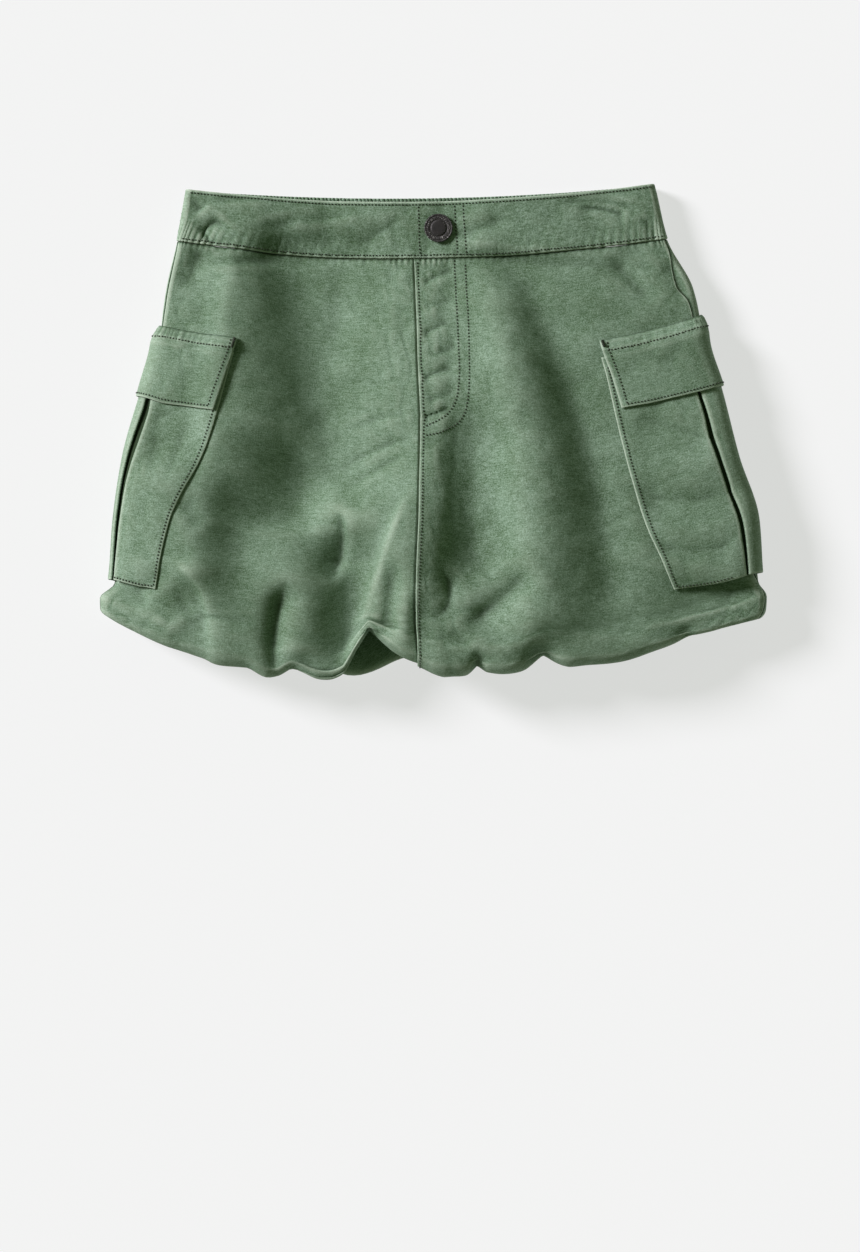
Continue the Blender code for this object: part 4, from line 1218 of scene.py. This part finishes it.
# The profile from the middle out and down to the foot: share of the radius, of the height, and wear.
PROFILE = [(0.0, 0.78, 0.0), (0.30, 0.78, 0.0), (0.46, 0.77, 0.0), (0.515, 0.74, 0.3), (0.545, 0.64, 0.1),
           (0.575, 0.58, 0.0), (0.62, 0.62, 0.2), (0.70, 0.70, 0.5), (0.78, 0.72, 0.5), (0.84, 0.66, 0.1),
           (0.87, 0.66, 0.1), (0.91, 0.76, 0.3), (0.95, 0.80, 0.5), (0.985, 0.72, 0.4), (1.0, 0.58, 0.1),
           (0.97, 0.44, 0.0), (0.60, 0.38, 0.0), (0.42, 0.30, 0.0), (0.42, 0.0, 0.0)]
BEADS, BEAD_RING, BEAD_WIDE, BEAD_HEIGHT = 34, 0.72, 0.08, 0.16
BUTTON_SIDES = 204


def make_button_metal():
    finish = Finish("worn_button")
    place = finish.kept("flat")
    worn = finish.kept("worn", out=2)
    speck = finish.noise(place, 1.5, 3.0, 0.7)
    rubbed = (worn * ((speck - 0.54) * 14.0)).clamped()
    grime = finish.mix(finish.noise(place, 0.5), GRIME_DARK, GRIME_PALE)
    colour = finish.mix(rubbed, grime, BRIGHT_METAL)
    finish.set(Base_Color=colour, Metallic=0.2, Roughness=0.65 - rubbed * 0.3)
    finish.bump(speck * 0.5, strength=0.6, distance=0.0004)
    return finish.material


def make_button():
    radius, height, worn = np.array(PROFILE)[1:].T
    r, a = np.meshgrid(radius, np.arange(BUTTON_SIDES) * math.tau / BUTTON_SIDES, indexing="ij")
    bead = np.clip(np.cos(a * BEADS), -0.2, 1.0) * np.exp(-(((r - BEAD_RING) / BEAD_WIDE) ** 2))
    z = height[:, None] * BUTTON_HEIGHT + bead * BEAD_HEIGHT
    points = np.stack([r * BUTTON_RADIUS * np.cos(a), r * BUTTON_RADIUS * np.sin(a), z], -1).reshape(-1, 3)
    points = np.concatenate([points, [[0, 0, PROFILE[0][1] * BUTTON_HEIGHT]]])
    shine = np.append(np.clip(worn[:, None] + bead * 0.6, 0, 1), 0.0)
    j = np.arange(BUTTON_SIDES)
    k = (j + 1) % BUTTON_SIDES
    i = np.arange(len(radius) - 1)[:, None] * BUTTON_SIDES
    sides = np.stack([i + j, i + BUTTON_SIDES + j, i + BUTTON_SIDES + k, i + k], -1).reshape(-1, 4)
    middle = np.stack([np.full_like(j, len(points) - 1), j, k], -1)
    run = np.array([BUTTON_RUN])
    turn = turn_at(BUTTON_X, run)
    up = Vector(normals(ring, turn, run)[0])
    foot = Vector(ring(turn, run)[0]) + up * (BAND_CLOTH / 2 + SEAM_GAP)
    moved = points @ np.array(up.to_track_quat("Z", "Y").to_matrix()).T + np.array(foot)
    obj = make_mesh("tack_button", moved, [sides, middle], make_button_metal(), flat=points, worn=shine)
    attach(obj, "root")
    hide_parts("button")
    print(f"the button's ring has {BEADS} beads")


make_button()

# %% [markdown]

# %% [markdown]
# ## Floor, light and camera
#
# The skirt lies on a pale sheet of paper and is seen from straight above through a long lens. One soft
# light stands low at the upper left, so that every fold shows, and the room fills the rest. The paper
# gives off part of its light, which keeps the shadow pale.

# %% The stage
FLOOR_HALF, FLOOR_DROP = 3000.0, 0.2  # millimetres
paper = Finish("paper")
paper.set(Base_Color=(0.29, 0.29, 0.29), Roughness=0.9)
paper.set(Emission_Color=(1.0, 1.0, 1.0), Emission_Strength=0.64)
corners = [(x * FLOOR_HALF, y * FLOOR_HALF, -FLOOR_DROP) for x, y in ((-1, -1), (1, -1), (1, 1), (-1, 1))]
floor = make_mesh("floor", corners, [np.array([[0, 1, 2, 3]])], paper.material)

scene = bpy.context.scene
scene.view_settings.view_transform = "Standard"
room = bpy.data.worlds.new("room")
scene.world = room
room.use_nodes = True
backdrop = room.node_tree.nodes["Background"].inputs
backdrop["Color"].default_value = (0.80, 1.0, 0.60, 1.0)
backdrop["Strength"].default_value = 0.17

lamp = add("lamp", bpy.data.lights.new("lamp", "SUN"))
lamp.data.energy, lamp.data.color = 4.95, (1.0, 0.965, 1.045)
lamp.data.angle = math.radians(16)
lamp.rotation_euler = Vector((-1.8, 0.88, 1.0)).to_track_quat("Z", "Y").to_euler()

CAMERA_HEIGHT, VIEW_HEIGHT = 3.0, 0.7512  # metres
SENSOR = 36.0
camera = add("camera", bpy.data.cameras.new("camera"))
scene.camera = camera
camera.location = (-0.0017, -0.1167, CAMERA_HEIGHT)
camera.data.sensor_width = SENSOR
camera.data.lens = SENSOR * CAMERA_HEIGHT / VIEW_HEIGHT
camera.data.clip_end = 20.0
print(f"a {camera.data.lens:.0f} mm lens, {CAMERA_HEIGHT} m up")
